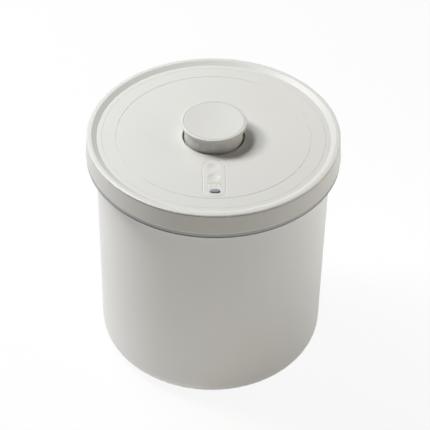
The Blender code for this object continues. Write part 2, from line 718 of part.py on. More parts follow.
def make_pump_cylinder(lid, material):
    """The pump barrel: open at the top, flanged on the well floor, with inlet holes in its bottom."""
    stem_hole = INLET_STEM_RADIUS + SEAT_GAP
    head = CAP_UNDER - SEAT_GAP
    profile = [
        (stem_hole, CHAMBER_FLOOR),
        (CYLINDER_RADIUS, CHAMBER_FLOOR),
        (CYLINDER_RADIUS, head),
        (CYLINDER_OUTER, head),
        (CYLINDER_OUTER, CYLINDER_FLANGE_TOP),
        (CYLINDER_FLANGE_RADIUS, CYLINDER_FLANGE_TOP),
        (CYLINDER_FLANGE_RADIUS, CYLINDER_FLANGE_UNDER),
        (CYLINDER_OUTER, CYLINDER_FLANGE_UNDER),
        (CYLINDER_OUTER, CHAMBER_UNDER),
        (stem_hole, CHAMBER_UNDER),
    ]
    cylinder = revolved("pump_cylinder", profile, MEDIUM_SEGMENTS, lid, material)
    centres = on_circle(INLET_HOLE_CIRCLE, INLET_HOLE_COUNT)
    low = CHAMBER_UNDER - CUT_MARGIN
    high = CHAMBER_FLOOR + CUT_MARGIN
    holes = posts("inlet_holes", centres, INLET_HOLE_RADIUS, low, high, HOLE_SEGMENTS, lid)
    combine(cylinder, holes, "DIFFERENCE")
    return cylinder


def make_cylinder_cap(lid, material):
    """The plate that closes the pump barrel, guides the rod and stops the piston."""
    spigot_outer = CYLINDER_RADIUS - SEAT_GAP
    spigot_inner = spigot_outer - CYLINDER_CAP_SPIGOT_WALL
    rod_hole = ROD_RADIUS + ROD_CLEARANCE
    profile = [
        (rod_hole, CAP_UNDER),
        (rod_hole, CAP_TOP),
        (CYLINDER_OUTER, CAP_TOP),
        (CYLINDER_OUTER, CAP_UNDER),
        (spigot_outer, CAP_UNDER),
        (spigot_outer, CAP_SPIGOT_END),
        (spigot_inner, CAP_SPIGOT_END),
        (spigot_inner, CAP_UNDER),
    ]
    cap = revolved("cylinder_cap", profile, MEDIUM_SEGMENTS, lid, material)
    centres = on_circle(CAP_VENT_CIRCLE, CAP_VENT_COUNT)
    low = CAP_UNDER - CUT_MARGIN
    high = CAP_TOP + CUT_MARGIN
    vents = posts("cap_vents", centres, CAP_VENT_RADIUS, low, high, HOLE_SEGMENTS, lid)
    combine(cap, vents, "DIFFERENCE")
    return cap


def make_cylinder_seal(lid, material):
    """The soft ring between the pump's flange and the well floor."""
    inner = CYLINDER_PASSAGE
    low = WELL_FLOOR + SEAT_GAP
    high = low + SEAL_HEIGHT
    profile = [(inner, high), (inner, low), (CYLINDER_FLANGE_RADIUS, low), (CYLINDER_FLANGE_RADIUS, high)]
    return revolved("cylinder_seal", profile, MEDIUM_SEGMENTS, lid, material)


def make_cylinder_nut(lid, material):
    """The nut that clamps the pump to the well from below, with notches for a key."""
    profile = [
        (CYLINDER_PASSAGE, NUT_TOP),
        (NUT_RADIUS, NUT_TOP),
        (NUT_RADIUS, NUT_UNDER + NUT_CHAMFER),
        (NUT_RADIUS - NUT_CHAMFER, NUT_UNDER),
        (CYLINDER_PASSAGE, NUT_UNDER),
    ]
    nut = revolved("cylinder_nut", profile, MEDIUM_SEGMENTS, lid, material)
    centres = on_circle(NUT_RADIUS, NUT_NOTCH_COUNT, 30)
    low = NUT_UNDER - CUT_MARGIN
    high = NUT_TOP + CUT_MARGIN
    combine(nut, posts("nut_notches", centres, NUT_NOTCH_RADIUS, low, high, HOLE_SEGMENTS, lid), "DIFFERENCE")
    return nut


def make_inlet_valve(lid, material):
    """The mushroom valve that lets air up into the pump and not back."""
    seat = CHAMBER_FLOOR + SEAT_GAP
    bulb_top = CHAMBER_UNDER - SEAT_GAP
    profile = [
        (0.0, seat + INLET_FLAP + INLET_CROWN),
        (INLET_FLAP_RADIUS, seat + INLET_FLAP),
        (INLET_FLAP_RADIUS, seat),
        (INLET_STEM_RADIUS, seat),
        (INLET_STEM_RADIUS, bulb_top),
        (INLET_BULB_RADIUS, bulb_top),
        (INLET_STEM_RADIUS, bulb_top - INLET_BULB),
        (0.0, bulb_top - INLET_BULB),
    ]
    return revolved("inlet_valve", profile, SMALL_SEGMENTS, lid, material)


def make_filter_cap(lid, material):
    """The slotted cap under the pump that keeps grains out."""
    inner = CYLINDER_PASSAGE
    outer = inner + FILTER_WALL
    top = NUT_UNDER - SEAT_GAP
    floor = CHAMBER_UNDER - FILTER_DEPTH
    under = floor - FILTER_WALL
    profile = [(0.0, floor), (inner, floor), (inner, top), (outer, top), (outer, under + FILTER_EDGE)]
    profile += [(outer - FILTER_EDGE, under), (0.0, under)]
    cap = revolved("filter_cap", profile, MEDIUM_SEGMENTS, lid, material)
    slots = spokes(
        "filter_slots",
        FILTER_SLOT_COUNT,
        180 / FILTER_SLOT_COUNT,
        FILTER_SLOT_INNER,
        FILTER_SLOT_OUTER,
        FILTER_SLOT_WIDTH,
        under - CUT_MARGIN,
        floor + CUT_MARGIN,
        lid,
    )
    combine(cap, slots, "DIFFERENCE")
    return cap


def make_return_spring(lid, material):
    """The spring under the piston that lifts the knob again."""
    low = CHAMBER_FLOOR + SEAT_GAP
    high = SPRING_SEAT - SEAT_GAP
    return coil(
        "return_spring", SPRING_RADIUS, SPRING_WIRE_RADIUS, SPRING_TURNS, low, high, 10, lid, material
    )


def make_knob_shell(knob, material):
    """The knob: a flanged head with a recess for its cap, a barrel, and a boss for the rod."""
    recess = KNOB_RADIUS - KNOB_RIM
    flange_under = KNOB_TOP - KNOB_FLANGE
    counterbore_floor = KNOB_RECESS_FLOOR - KNOB_SCREW_HEAD - SEAT_GAP
    counterbore_radius = KNOB_SCREW_HEAD_RADIUS + SEAT_GAP
    rod_socket = ROD_RADIUS + SEAT_GAP
    profile = [
        (KNOB_SCREW_HOLE, counterbore_floor),
        (counterbore_radius, counterbore_floor),
        (counterbore_radius, KNOB_RECESS_FLOOR),
        (recess, KNOB_RECESS_FLOOR),
        (recess, KNOB_TOP - KNOB_LIP_BEVEL),
        (recess + KNOB_LIP_BEVEL, KNOB_TOP),
    ]
    profile += arc((KNOB_RADIUS - KNOB_EDGE_ROUND, KNOB_TOP - KNOB_EDGE_ROUND), KNOB_EDGE_ROUND, 90, 0, 3)
    profile += [
        (KNOB_RADIUS, flange_under + KNOB_NECK),
        (KNOB_RADIUS - KNOB_NECK, flange_under),
        (BARREL_RADIUS + KNOB_NECK, flange_under),
        (BARREL_RADIUS, flange_under - KNOB_NECK),
        (BARREL_RADIUS, BARREL_END),
        (BARREL_INNER, BARREL_END),
        (BARREL_INNER, KNOB_PLATE_UNDER),
        (KNOB_BOSS_RADIUS, KNOB_PLATE_UNDER),
        (KNOB_BOSS_RADIUS, KNOB_BOSS_END),
        (rod_socket, KNOB_BOSS_END),
        (rod_socket, KNOB_PLATE_UNDER),
        (KNOB_SCREW_HOLE, KNOB_PLATE_UNDER),
    ]
    return revolved("knob_shell", profile, MEDIUM_SEGMENTS, knob, material)


def make_knob_cap(knob, material):
    """The dished disc let into the top of the knob."""
    radius = KNOB_RADIUS - KNOB_RIM - SEAT_GAP
    under = KNOB_RECESS_FLOOR + SEAT_GAP
    edge = KNOB_TOP - CAP_STEP
    profile = [(0.0, under), (radius, under), (radius, edge - CAP_STEP), (radius - CAP_STEP, edge)]
    profile += dish(radius - CAP_LIP, edge, CAP_DISH, 6)
    return revolved("knob_cap", profile, MEDIUM_SEGMENTS, knob, material)


def make_knob_screw(knob, material):
    """The screw under the knob's cap that holds the rod."""
    head_top = KNOB_RECESS_FLOOR
    seat = head_top - KNOB_SCREW_HEAD
    tip = seat - KNOB_SCREW_LENGTH
    profile = [
        (0.0, head_top),
        (KNOB_SCREW_HEAD_RADIUS, head_top),
        (KNOB_SCREW_HEAD_RADIUS, seat),
        (KNOB_SCREW_RADIUS, seat),
        (KNOB_SCREW_RADIUS, tip),
        (0.0, tip),
    ]
    return revolved("knob_screw", profile, SMALL_SEGMENTS, knob, material)


def make_piston(knob, material):
    """The piston and its rod: ring groove, pocket for the exhaust flap, and a spring pocket below."""
    rod_top = KNOB_PLATE_UNDER - SEAT_GAP
    screw_end = KNOB_RECESS_FLOOR - KNOB_SCREW_HEAD - KNOB_SCREW_LENGTH - SEAT_GAP
    pocket_floor = PISTON_TOP - EXHAUST_POCKET_DEPTH
    pocket_radius = EXHAUST_FLAP_RADIUS + EXHAUST_FLAP_CLEARANCE
    groove_radius = PISTON_RADIUS - PISTON_RING_DEPTH
    groove_top = (PISTON_TOP + PISTON_UNDER + PISTON_RING_HEIGHT) / 2
    groove_low = groove_top - PISTON_RING_HEIGHT
    spring_pocket = SPRING_RADIUS + SPRING_WIRE_RADIUS + SPRING_CLEARANCE
    profile = [
        (0.0, screw_end),
        (KNOB_SCREW_HOLE, screw_end),
        (KNOB_SCREW_HOLE, rod_top),
        (ROD_RADIUS, rod_top),
        (ROD_RADIUS, pocket_floor),
        (pocket_radius, pocket_floor),
        (pocket_radius, PISTON_TOP),
        (PISTON_RADIUS, PISTON_TOP),
        (PISTON_RADIUS, groove_top),
        (groove_radius, groove_top),
        (groove_radius, groove_low),
        (PISTON_RADIUS, groove_low),
        (PISTON_RADIUS, PISTON_UNDER),
        (spring_pocket, PISTON_UNDER),
        (spring_pocket, SPRING_SEAT),
        (0.0, SPRING_SEAT),
    ]
    piston = revolved("piston", profile, MEDIUM_SEGMENTS, knob, material)
    centres = on_circle(EXHAUST_HOLE_CIRCLE, EXHAUST_HOLE_COUNT)
    low = SPRING_SEAT - CUT_MARGIN
    high = pocket_floor + CUT_MARGIN
    holes = posts("exhaust_holes", centres, EXHAUST_HOLE_RADIUS, low, high, HOLE_SEGMENTS, knob)
    combine(piston, holes, "DIFFERENCE")
    return piston


def make_piston_seal(knob, material):
    """The soft ring in the piston's groove."""
    inner = PISTON_RADIUS - PISTON_RING_DEPTH + SEAT_GAP
    outer = CYLINDER_RADIUS - SEAT_GAP
    middle = (PISTON_TOP + PISTON_UNDER) / 2
    half = PISTON_RING_HEIGHT / 2 - SEAT_GAP
    profile = [
        (inner, middle - half),
        (outer - PISTON_RING_CROWN, middle - half),
        (outer, middle),
        (outer - PISTON_RING_CROWN, middle + half),
        (inner, middle + half),
    ]
    return revolved("piston_seal", profile, MEDIUM_SEGMENTS, knob, material)


def make_exhaust_valve(knob, material):
    """The soft flap over the piston's holes."""
    low = PISTON_TOP - EXHAUST_POCKET_DEPTH + SEAT_GAP
    high = low + EXHAUST_FLAP
    inner = ROD_RADIUS + SEAT_GAP
    profile = [(inner, low), (EXHAUST_FLAP_RADIUS, low), (EXHAUST_FLAP_RADIUS, high), (inner, high)]
    return revolved("exhaust_valve", profile, MEDIUM_SEGMENTS, knob, material)


def make_valve_cover(lid, material):
    """The pill-shaped plate: a hidden flange, a dimpled finger dish, and openings for button and pin."""
    centre = (0.0, -COVER_CENTRE)
    half_length = COVER_HALF_LENGTH + COVER_FLANGE_WIDTH
    half_width = COVER_HALF_WIDTH + COVER_FLANGE_WIDTH
    bm = bmesh.new()
    flange = raise_outline(bm, pill_outline(half_length, half_width, centre), COVER_UNDER, COVER_FLANGE_TOP)
    step_face(bm, flange, COVER_FLANGE_WIDTH, PANEL_TOP - COVER_FLANGE_TOP)
    cover = finish_mesh("valve_cover", bm, lid, material)
    low = COVER_UNDER - CUT_MARGIN
    high = PANEL_TOP + CUT_MARGIN
    bore = RELEASE_RADIUS + SEAT_GAP
    button_hole = posts("button_hole", [RELEASE_PLACE], bore, low, high, SMALL_SEGMENTS, lid)
    combine(cover, button_hole, "DIFFERENCE")
    for radius, edge, depth in (
        (FINGER_DISH_RADIUS, PANEL_TOP, FINGER_DISH),
        (DIMPLE_RADIUS, PANEL_TOP - FINGER_DISH, DIMPLE),
    ):
        bm = bmesh.new()
        hollow = [(0.0, high), (radius, high)] + dish(radius, edge, depth, 4)
        spin_profile(bm, hollow, SMALL_SEGMENTS, FINGER_DISH_PLACE)
        combine(cover, finish_mesh("finger_dish", bm, lid, None), "DIFFERENCE")
    bm = bmesh.new()
    outline = pill_outline(PIN_HALF_DEPTH + SEAT_GAP, PIN_HALF_WIDTH + SEAT_GAP, PIN_PLACE)
    raise_outline(bm, outline, low, high)
    combine(cover, finish_mesh("pin_slot", bm, lid, None), "DIFFERENCE")
    return cover


def make_release_button(release, material):
    """The release button: a dished head, a flange under the cover, and a stem to the poppet."""
    flange_under = FLANGE_STOP - RELEASE_FLANGE
    stem_end = BASE_UNDER - RELEASE_SEAL - POPPET_THICKNESS
    profile = [
        (0.0, stem_end),
        (RELEASE_STEM_RADIUS, stem_end),
        (RELEASE_STEM_RADIUS, flange_under),
        (RELEASE_FLANGE_RADIUS, flange_under),
        (RELEASE_FLANGE_RADIUS, FLANGE_STOP),
        (RELEASE_RADIUS, FLANGE_STOP),
        (RELEASE_RADIUS, PANEL_TOP),
    ]
    profile += dish(RELEASE_RADIUS - RELEASE_EDGE, PANEL_TOP, RELEASE_DISH, 4)
    return revolved("release_button", profile, SMALL_SEGMENTS, release, material)


def make_release_spring(release_seat, material):
    """The small spring under the button's flange."""
    low = BASE_TOP + SEAT_GAP
    high = FLANGE_STOP - RELEASE_FLANGE - SEAT_GAP
    return coil(
        "release_spring",
        RELEASE_SPRING_RADIUS,
        RELEASE_WIRE_RADIUS,
        RELEASE_TURNS,
        low,
        high,
        8,
        release_seat,
        material,
    )


def make_release_seal(release, material):
    """The soft washer that closes the air port from below."""
    inner = RELEASE_STEM_RADIUS + SEAT_GAP
    high = BASE_UNDER - SEAT_GAP
    low = high - RELEASE_SEAL
    profile = [(inner, low), (RELEASE_SEAL_RADIUS, low), (RELEASE_SEAL_RADIUS, high), (inner, high)]
    return revolved("release_seal", profile, SMALL_SEGMENTS, release, material)


def make_release_poppet(release, material):
    """The disc on the stem that carries the washer."""
    inner = RELEASE_STEM_RADIUS + SEAT_GAP
    high = BASE_UNDER - 2 * SEAT_GAP - RELEASE_SEAL
    low = high - POPPET_THICKNESS
    profile = [
        (inner, low),
        (RELEASE_SEAL_RADIUS - POPPET_BEVEL, low),
        (RELEASE_SEAL_RADIUS, low + POPPET_BEVEL),
        (RELEASE_SEAL_RADIUS, high),
        (inner, high),
    ]
    return revolved("release_poppet", profile, SMALL_SEGMENTS, release, material)


def make_indicator_pin(indicator, material):
    """The pin that stands proud without vacuum: flange under the cover, head through its slot."""
    foot_end = diaphragm_top() + SEAT_GAP
    flange_under = FLANGE_STOP - PIN_FLANGE
    half_depth = PIN_HALF_DEPTH + PIN_FLANGE_WIDTH
    half_width = PIN_HALF_WIDTH + PIN_FLANGE_WIDTH
    bm = bmesh.new()
    flange = raise_outline(bm, pill_outline(half_depth, half_width), flange_under, FLANGE_STOP)
    step_face(bm, flange, PIN_FLANGE_WIDTH, PANEL_TOP + PIN_PROUD - FLANGE_STOP)
    pin = finish_mesh("indicator_pin", bm, indicator, material)
    foot_top = flange_under + ROOT_OVERLAP
    foot = posts("pin_foot", [(0.0, 0.0)], PIN_FOOT_RADIUS, foot_end, foot_top, HOLE_SEGMENTS, indicator)
    combine(pin, foot, "UNION")
    return pin


def diaphragm_top():
    """Height of the diaphragm's dome."""
    return BASE_TOP + SEAT_GAP + DIAPHRAGM_SKIN + DIAPHRAGM_DOME


def make_diaphragm(indicator_seat, material):
    """The soft dome that vacuum draws down together with the pin."""
    seat = BASE_TOP + SEAT_GAP
    top = diaphragm_top()
    skin = DIAPHRAGM_SKIN
    profile = [
        (0.0, top - skin),
        (DIAPHRAGM_DOME_RADIUS - 2 * skin, top - skin),
        (DIAPHRAGM_DOME_RADIUS - skin, seat),
        (DIAPHRAGM_RADIUS, seat),
        (DIAPHRAGM_RADIUS, seat + skin),
        (DIAPHRAGM_DOME_RADIUS, seat + skin),
        (DIAPHRAGM_DOME_RADIUS - skin, top),
        (0.0, top),
    ]
    return revolved("indicator_diaphragm", profile, SMALL_SEGMENTS, indicator_seat, material)


def build():
    clear_scene()
    shell = make_material("warm_grey_shell", (0.72, 0.72, 0.68), 0.45)
    inner = make_material("white_inner_plastic", (0.80, 0.80, 0.78), 0.5)
    soft = make_material("blue_grey_silicone", (0.30, 0.33, 0.37), 0.6)
    steel = make_material("spring_steel", (0.55, 0.55, 0.56), 0.3, 1.0)

    make_pot(shell)
    make_foot_ring(soft)

    lid = make_empty("lid_frame", (0.0, 0.0, LID_HEIGHT))
    make_lid_cover(lid, shell)
    make_top_panel(lid, shell)
    make_valve_cover(lid, shell)
    make_lid_base(lid, inner)
    make_gasket(lid, soft)
    make_lid_screws(lid, steel)
    make_pump_cylinder(lid, inner)
    make_cylinder_cap(lid, inner)
    make_cylinder_seal(lid, soft)
    make_cylinder_nut(lid, inner)
    make_inlet_valve(lid, soft)
    make_filter_cap(lid, inner)
    make_return_spring(lid, steel)

    knob = make_empty("knob_frame", (0.0, 0.0, 0.0), lid)
    make_knob_shell(knob, shell)
    make_knob_cap(knob, shell)
    make_knob_screw(knob, steel)
    make_piston(knob, inner)
    make_piston_seal(knob, soft)
    make_exhaust_valve(knob, soft)

    release = make_empty("release_frame", (*RELEASE_PLACE, 0.0), lid)
    make_release_button(release, shell)
    make_release_seal(release, soft)
    make_release_poppet(release, inner)
    make_release_spring(release, steel)

    indicator = make_empty("indicator_frame", (*PIN_PLACE, 0.0), lid)
    make_indicator_pin(indicator, soft)
    make_diaphragm(indicator, soft)


build()
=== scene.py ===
"""Looks of a round rice canister with a hand vacuum pump in its lid.

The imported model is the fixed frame. Each piece that shows is modelled again with its fine edges, at the
place that the frame gives. Lengths are metres, +Z is up, and the valve cover faces -Y.
"""

import json
import math

import bpy
from mathutils import Matrix, Vector


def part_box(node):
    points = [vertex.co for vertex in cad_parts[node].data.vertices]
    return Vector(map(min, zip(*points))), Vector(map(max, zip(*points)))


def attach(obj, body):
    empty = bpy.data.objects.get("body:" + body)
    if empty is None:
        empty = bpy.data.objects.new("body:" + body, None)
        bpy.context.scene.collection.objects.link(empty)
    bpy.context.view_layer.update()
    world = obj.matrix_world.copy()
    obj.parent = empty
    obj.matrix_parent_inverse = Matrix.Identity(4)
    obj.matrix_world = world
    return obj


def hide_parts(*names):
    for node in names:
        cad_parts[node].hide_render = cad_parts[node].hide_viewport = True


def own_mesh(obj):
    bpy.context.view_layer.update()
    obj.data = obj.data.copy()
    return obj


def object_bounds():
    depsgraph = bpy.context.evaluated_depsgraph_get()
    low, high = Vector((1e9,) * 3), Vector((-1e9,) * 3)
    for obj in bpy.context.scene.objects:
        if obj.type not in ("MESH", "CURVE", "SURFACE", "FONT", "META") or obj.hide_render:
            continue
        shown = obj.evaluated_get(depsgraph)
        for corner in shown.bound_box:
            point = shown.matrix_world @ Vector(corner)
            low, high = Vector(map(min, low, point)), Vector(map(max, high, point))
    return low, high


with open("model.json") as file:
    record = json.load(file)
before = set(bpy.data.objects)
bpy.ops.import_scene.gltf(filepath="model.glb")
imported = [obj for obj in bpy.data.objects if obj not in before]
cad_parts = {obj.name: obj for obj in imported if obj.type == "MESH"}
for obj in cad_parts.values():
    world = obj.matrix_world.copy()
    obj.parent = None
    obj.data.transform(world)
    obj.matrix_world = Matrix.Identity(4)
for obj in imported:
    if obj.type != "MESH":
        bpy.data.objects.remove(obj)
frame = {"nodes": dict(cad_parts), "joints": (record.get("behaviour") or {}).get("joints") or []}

bl_info = {
    "name": "Rice Canister",
    "version": (1, 0, 0),
    "blender": (4, 5, 0),
    "location": "3D View > Sidebar > Canister",
    "description": "Models a rice canister with a pump lid, and the stage that it stands on",
    "category": "Add Mesh",
}

CAD_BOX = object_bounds()

# The lamps: name, angle round the canister, angle above the floor, distance, width, power in watts, colour
LAMPS = (
    ("key_light", 160, 45, 1.7, 0.45, 15.4, (1.0, 0.97, 0.975)),
    ("upper_light", 160, 60, 1.7, 0.45, 7.87, (1.0, 0.97, 0.88)),
    ("side_light", 135, 60, 1.7, 0.45, 10.0, (0.82, 0.87, 0.98)),
    ("back_light", 110, 45, 1.7, 0.45, 2.17, (0.95, 1.0, 0.95)),
    ("right_card", 0, 30, 0.6, 0.3, 0.63, (1.0, 0.88, 0.79)),
    ("front_card", -90, 3, 0.6, 0.3, 0.30, (1.0, 0.89, 0.68)),
    ("low_right_card", -60, 5, 0.6, 0.3, 0.10, (0.90, 0.88, 1.0)),
    ("front_right_card", -25, 20, 0.3, 0.15, 0.06, (0.96, 1.0, 0.97)),
    ("rear_right_card", 25, 20, 0.3, 0.15, 0.147, (1.0, 1.0, 0.95)),
)

# Heights and radii that the frame gives
POT_LOW, POT_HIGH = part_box("container_body")
COVER_LOW, COVER_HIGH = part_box("lid_cover")
PANEL_LOW, PANEL_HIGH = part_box("top_panel")
BASE_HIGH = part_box("lid_base")[1]
GASKET_LOW, GASKET_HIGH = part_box("lid_gasket")
PLATE_LOW, PLATE_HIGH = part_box("valve_cover")
KNOB_LOW, KNOB_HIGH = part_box("knob_shell")
DISC_LOW, DISC_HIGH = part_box("knob_cap")
FOOT_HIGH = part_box("foot_ring")[1]
BUTTON_LOW, BUTTON_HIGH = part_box("release_button")
PIN_LOW, PIN_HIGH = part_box("indicator_pin")
NUT_LOW, NUT_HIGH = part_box("cylinder_nut")
FILTER_LOW, FILTER_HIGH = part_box("filter_cap")
SCREW_NAMES = ("lid_screw_1", "lid_screw_2", "lid_screw_3", "lid_screw_4")

RIM_TOP = COVER_HIGH.z
PANEL_TOP = PANEL_HIGH.z
PLATE_CENTRE = (PLATE_LOW + PLATE_HIGH) / 2
BUTTON_CENTRE = (BUTTON_LOW + BUTTON_HIGH) / 2
PIN_CENTRE = (PIN_LOW + PIN_HIGH) / 2

# Clearances: of pieces that move, of joints that show, and past the face that a cutter goes through
GAP = 0.0003
FINE_GAP = 0.00003
MARGIN = 0.001

# Sizes that several pieces share
PANEL_THICKNESS = 0.0020
PLATE_FLANGE = 0.0015
BUTTON_FLANGE = 0.0012
PIN_FLANGE = 0.0013
BASE_THICKNESS = 0.0020
PUMP_PASSAGE = 0.0245
BUTTON_STEM = 0.0018
PLATE_RADIUS = PLATE_HIGH.x - PLATE_FLANGE
PLATE_REACH = (PLATE_HIGH.y - PLATE_LOW.y) / 2 - PLATE_HIGH.x
BUTTON_RADIUS = (BUTTON_HIGH.x - BUTTON_LOW.x) / 2 - BUTTON_FLANGE
PIN_RADIUS = (PIN_HIGH.y - PIN_LOW.y) / 2 - PIN_FLANGE
PIN_REACH = (PIN_HIGH.x - PIN_LOW.x - PIN_HIGH.y + PIN_LOW.y) / 2

# Roundings of small edges
HAIR = 0.0001
SHARP = 0.0002
CRISP = 0.0003
SOFT = 0.0004

# Distances below which two points are one: in an outline, and in a finished mesh
SAME_PLACE = 1e-7
WELD = 1e-6


def length(name, description, default):
    """A property for a length in metres."""
    return bpy.props.FloatProperty(name=name, description=description, default=default, unit="LENGTH")


def angle(name, description, degrees):
    """A property for an angle."""
    return bpy.props.FloatProperty(
        name=name, description=description, default=math.radians(degrees), subtype="ANGLE")


def number(name, description, default):
    """A property for a number that isn't below 0."""
    return bpy.props.FloatProperty(name=name, description=description, default=default, min=0)


def tint(name, description, default):
    """A property for a colour."""
    return bpy.props.FloatVectorProperty(
        name=name, description=description, default=default, subtype="COLOR", min=0, max=1)


class CanisterSizes(bpy.types.PropertyGroup):
    """Sizes that a user would change."""

    facets: bpy.props.IntProperty(
        name="Facets", description="Facets round the lid and the pot", default=192, min=48, max=256)
    wall: length("Pot wall", "Thickness of the pot's wall", 0.003)
    base_fillet: length("Base fillet", "Radius between the pot's wall and its base", 0.0208)
    rim_width: length("Rim width", "Width of the flat top of the lid's rim", 0.0045)
    rim_slope: length("Rim slope", "Width of the slope inside the rim", 0.0048)
    line_radius: length("Line radius", "Radius of the ring line in the panel", 0.0883)
    line_width: length("Line width", "Width of the ring line in the panel", 0.0004)
    line_depth: length("Line depth", "Depth of the ring line in the panel", 0.0004)
    bore_radius: length("Bore radius", "Radius of the knob's bore in the panel", 0.0285)
    barrel_radius: length("Barrel radius", "Radius of the knob's barrel", 0.0265)
    knob_round: length("Knob round", "Radius of the knob's top edge", 0.0013)
    dish_depth: length("Dish depth", "Depth of the dish in the knob", 0.0014)
    groove_slope: length("Groove slope", "Width of each slope of the groove round the valve cover", 0.0008)
    groove_depth: length("Groove depth", "Depth of the groove round the valve cover", 0.00019)


class CanisterColours(bpy.types.PropertyGroup):
    """Colours that a user would change."""

    shell: tint("Shell", "Pale warm grey of the lid and the knob", (0.680, 0.680, 0.645))
    pot: tint("Pot", "Lighter grey of the pot", (0.815, 0.820, 0.795))
    inner: tint("Inner plastic", "Off-white of the parts under the lid", (0.700, 0.695, 0.665))
    seal: tint("Seals", "Pale blue-grey of the gasket and the other seals", (0.475, 0.502, 0.518))
    pin: tint("Pin", "Darker blue-grey of the indicator pin", (0.270, 0.288, 0.320))
    steel: tint("Steel", "Colour of springs and screws", (0.560, 0.560, 0.570))
    floor: tint("Floor", "Colour of the studio floor", (0.86, 0.86, 0.86))


class CanisterStudio(bpy.types.PropertyGroup):
    """Camera and light values that a user would change."""

    elevation: angle("Camera elevation", "Angle of the camera above the floor", 38.34)
    turn: angle("Camera turn", "Angle of the camera about the canister's axis", -1.0)
    roll: angle("Camera roll", "Roll of the camera", 1.026)
    distance: length("Camera distance", "Distance of the camera from the middle of the rim", 1.7383)
    lens: number("Lens", "Focal length on a 36 mm wide sensor, in millimetres", 161.07)
    aim_right: number("Aim right", "Aim beside the middle of the rim, as a tangent", 0.0014)
    aim_down: number("Aim down", "Aim below the middle of the rim, as a tangent", 0.04266)
    brightness: number("Brightness", "Factor on the power of every lamp", 1.0)
    surround: number("Surround", "Strength of the even light from all round", 0.05)


class Value:
    """What a node of a finish gives, so that sums of nodes are written as sums."""

    def __init__(self, finish, socket):
        self.finish = finish
        self.socket = socket

    def _sum(self, operation, first, second):
        return self.finish.add("ShaderNodeMath", {"operation": operation}, {0: first, 1: second})

    def __add__(self, other):
        return self._sum("ADD", self, other)

    __radd__ = __add__

    def __sub__(self, other):
        return self._sum("SUBTRACT", self, other)

    def __rsub__(self, other):
        return self._sum("SUBTRACT", other, self)

    def __mul__(self, other):
        return self._sum("MULTIPLY", self, other)

    __rmul__ = __mul__

    def __abs__(self):
        return self._sum("ABSOLUTE", self, 0.0)


class Finish:
    """One material, built node by node on its Principled shader."""

    def __init__(self, name):
        self.material = bpy.data.materials.new(name)
        self.material.use_nodes = True
        self.tree = self.material.node_tree
        self.shader = self.tree.nodes["Principled BSDF"]

    def add(self, kind, settings=None, inputs=None, output=0):
        """Adds a node with its settings first and its inputs next, and returns one of its outputs."""
        node = self.tree.nodes.new(kind)
        for name, setting in (settings or {}).items():
            setattr(node, name, setting)
        for key, value in (inputs or {}).items():
            self.feed(self._socket(node.inputs, key), value)
        return Value(self, self._socket(node.outputs, output))

    def feed(self, socket, value):
        """Links a value to a socket, or sets the socket to a number or colour."""
        if isinstance(value, Value):
            self.tree.links.new(value.socket, socket)
        else:
            socket.default_value = value

    def drive(self, name, value):
        self.feed(self.shader.inputs[name], value)

    def _socket(self, sockets, key):
        if isinstance(key, int):
            return sockets[key]
        return next((item for item in sockets if item.identifier == key), None) or sockets[key]

    def place(self):
        """The point on the piece, in metres."""
        return self.add("ShaderNodeTexCoord", output="Object")

    def noise(self, scale, detail=2.0, roughness=0.5, stretch=(1.0, 1.0, 1.0)):
        """Cloudy values from 0 to 1, with scale features in a metre."""
        spot = self.add("ShaderNodeMapping", None, {"Vector": self.place(), "Scale": stretch})
        return self.add(
            "ShaderNodeTexNoise", None,
            {"Vector": spot, "Scale": scale, "Detail": detail, "Roughness": roughness})

    def band(self, value, low, high):
        """A smooth step of a value, from 0 at low to 1 at high."""
        return self.add(
            "ShaderNodeMapRange", {"interpolation_type": "SMOOTHSTEP"},
            {"Value": value, "From Min": low, "From Max": high})

    def height(self):
        return self.add("ShaderNodeSeparateXYZ", None, {0: self.place()}, 2)

    def radius(self):
        """Distance from the canister's axis."""
        flat = self.add(
            "ShaderNodeVectorMath", {"operation": "MULTIPLY"}, {0: self.place(), 1: (1.0, 1.0, 0.0)})
        return self.add("ShaderNodeVectorMath", {"operation": "LENGTH"}, {0: flat}, "Value")

    def blend(self, factor, first, second):
        """A colour between two colours."""
        return self.add(
            "ShaderNodeMix", {"data_type": "RGBA"},
            {"Factor_Float": factor, "A_Color": colour4(first), "B_Color": colour4(second)},
            "Result_Color")

    def stain(self, factor, colour):
        """Mixes a colour into the base colour that is there."""
        base = Value(self, self.shader.inputs["Base Color"].links[0].from_socket)
        self.drive("Base Color", self.blend(factor, base, colour))

    def relief(self, height, depth, strength, normal=None):
        """A bump of the given depth in metres."""
        inputs = {"Height": height, "Distance": depth, "Strength": strength}
        if normal:
            inputs["Normal"] = normal
        return self.add("ShaderNodeBump", None, inputs)


def colour4(colour):
    """A colour with its alpha, or the value as it is where it comes from a node."""
    return colour if isinstance(colour, Value) else (*colour[:3], 1.0)


def shade(colour, factor):
    return tuple(part * factor for part in colour[:3])


# Finishes


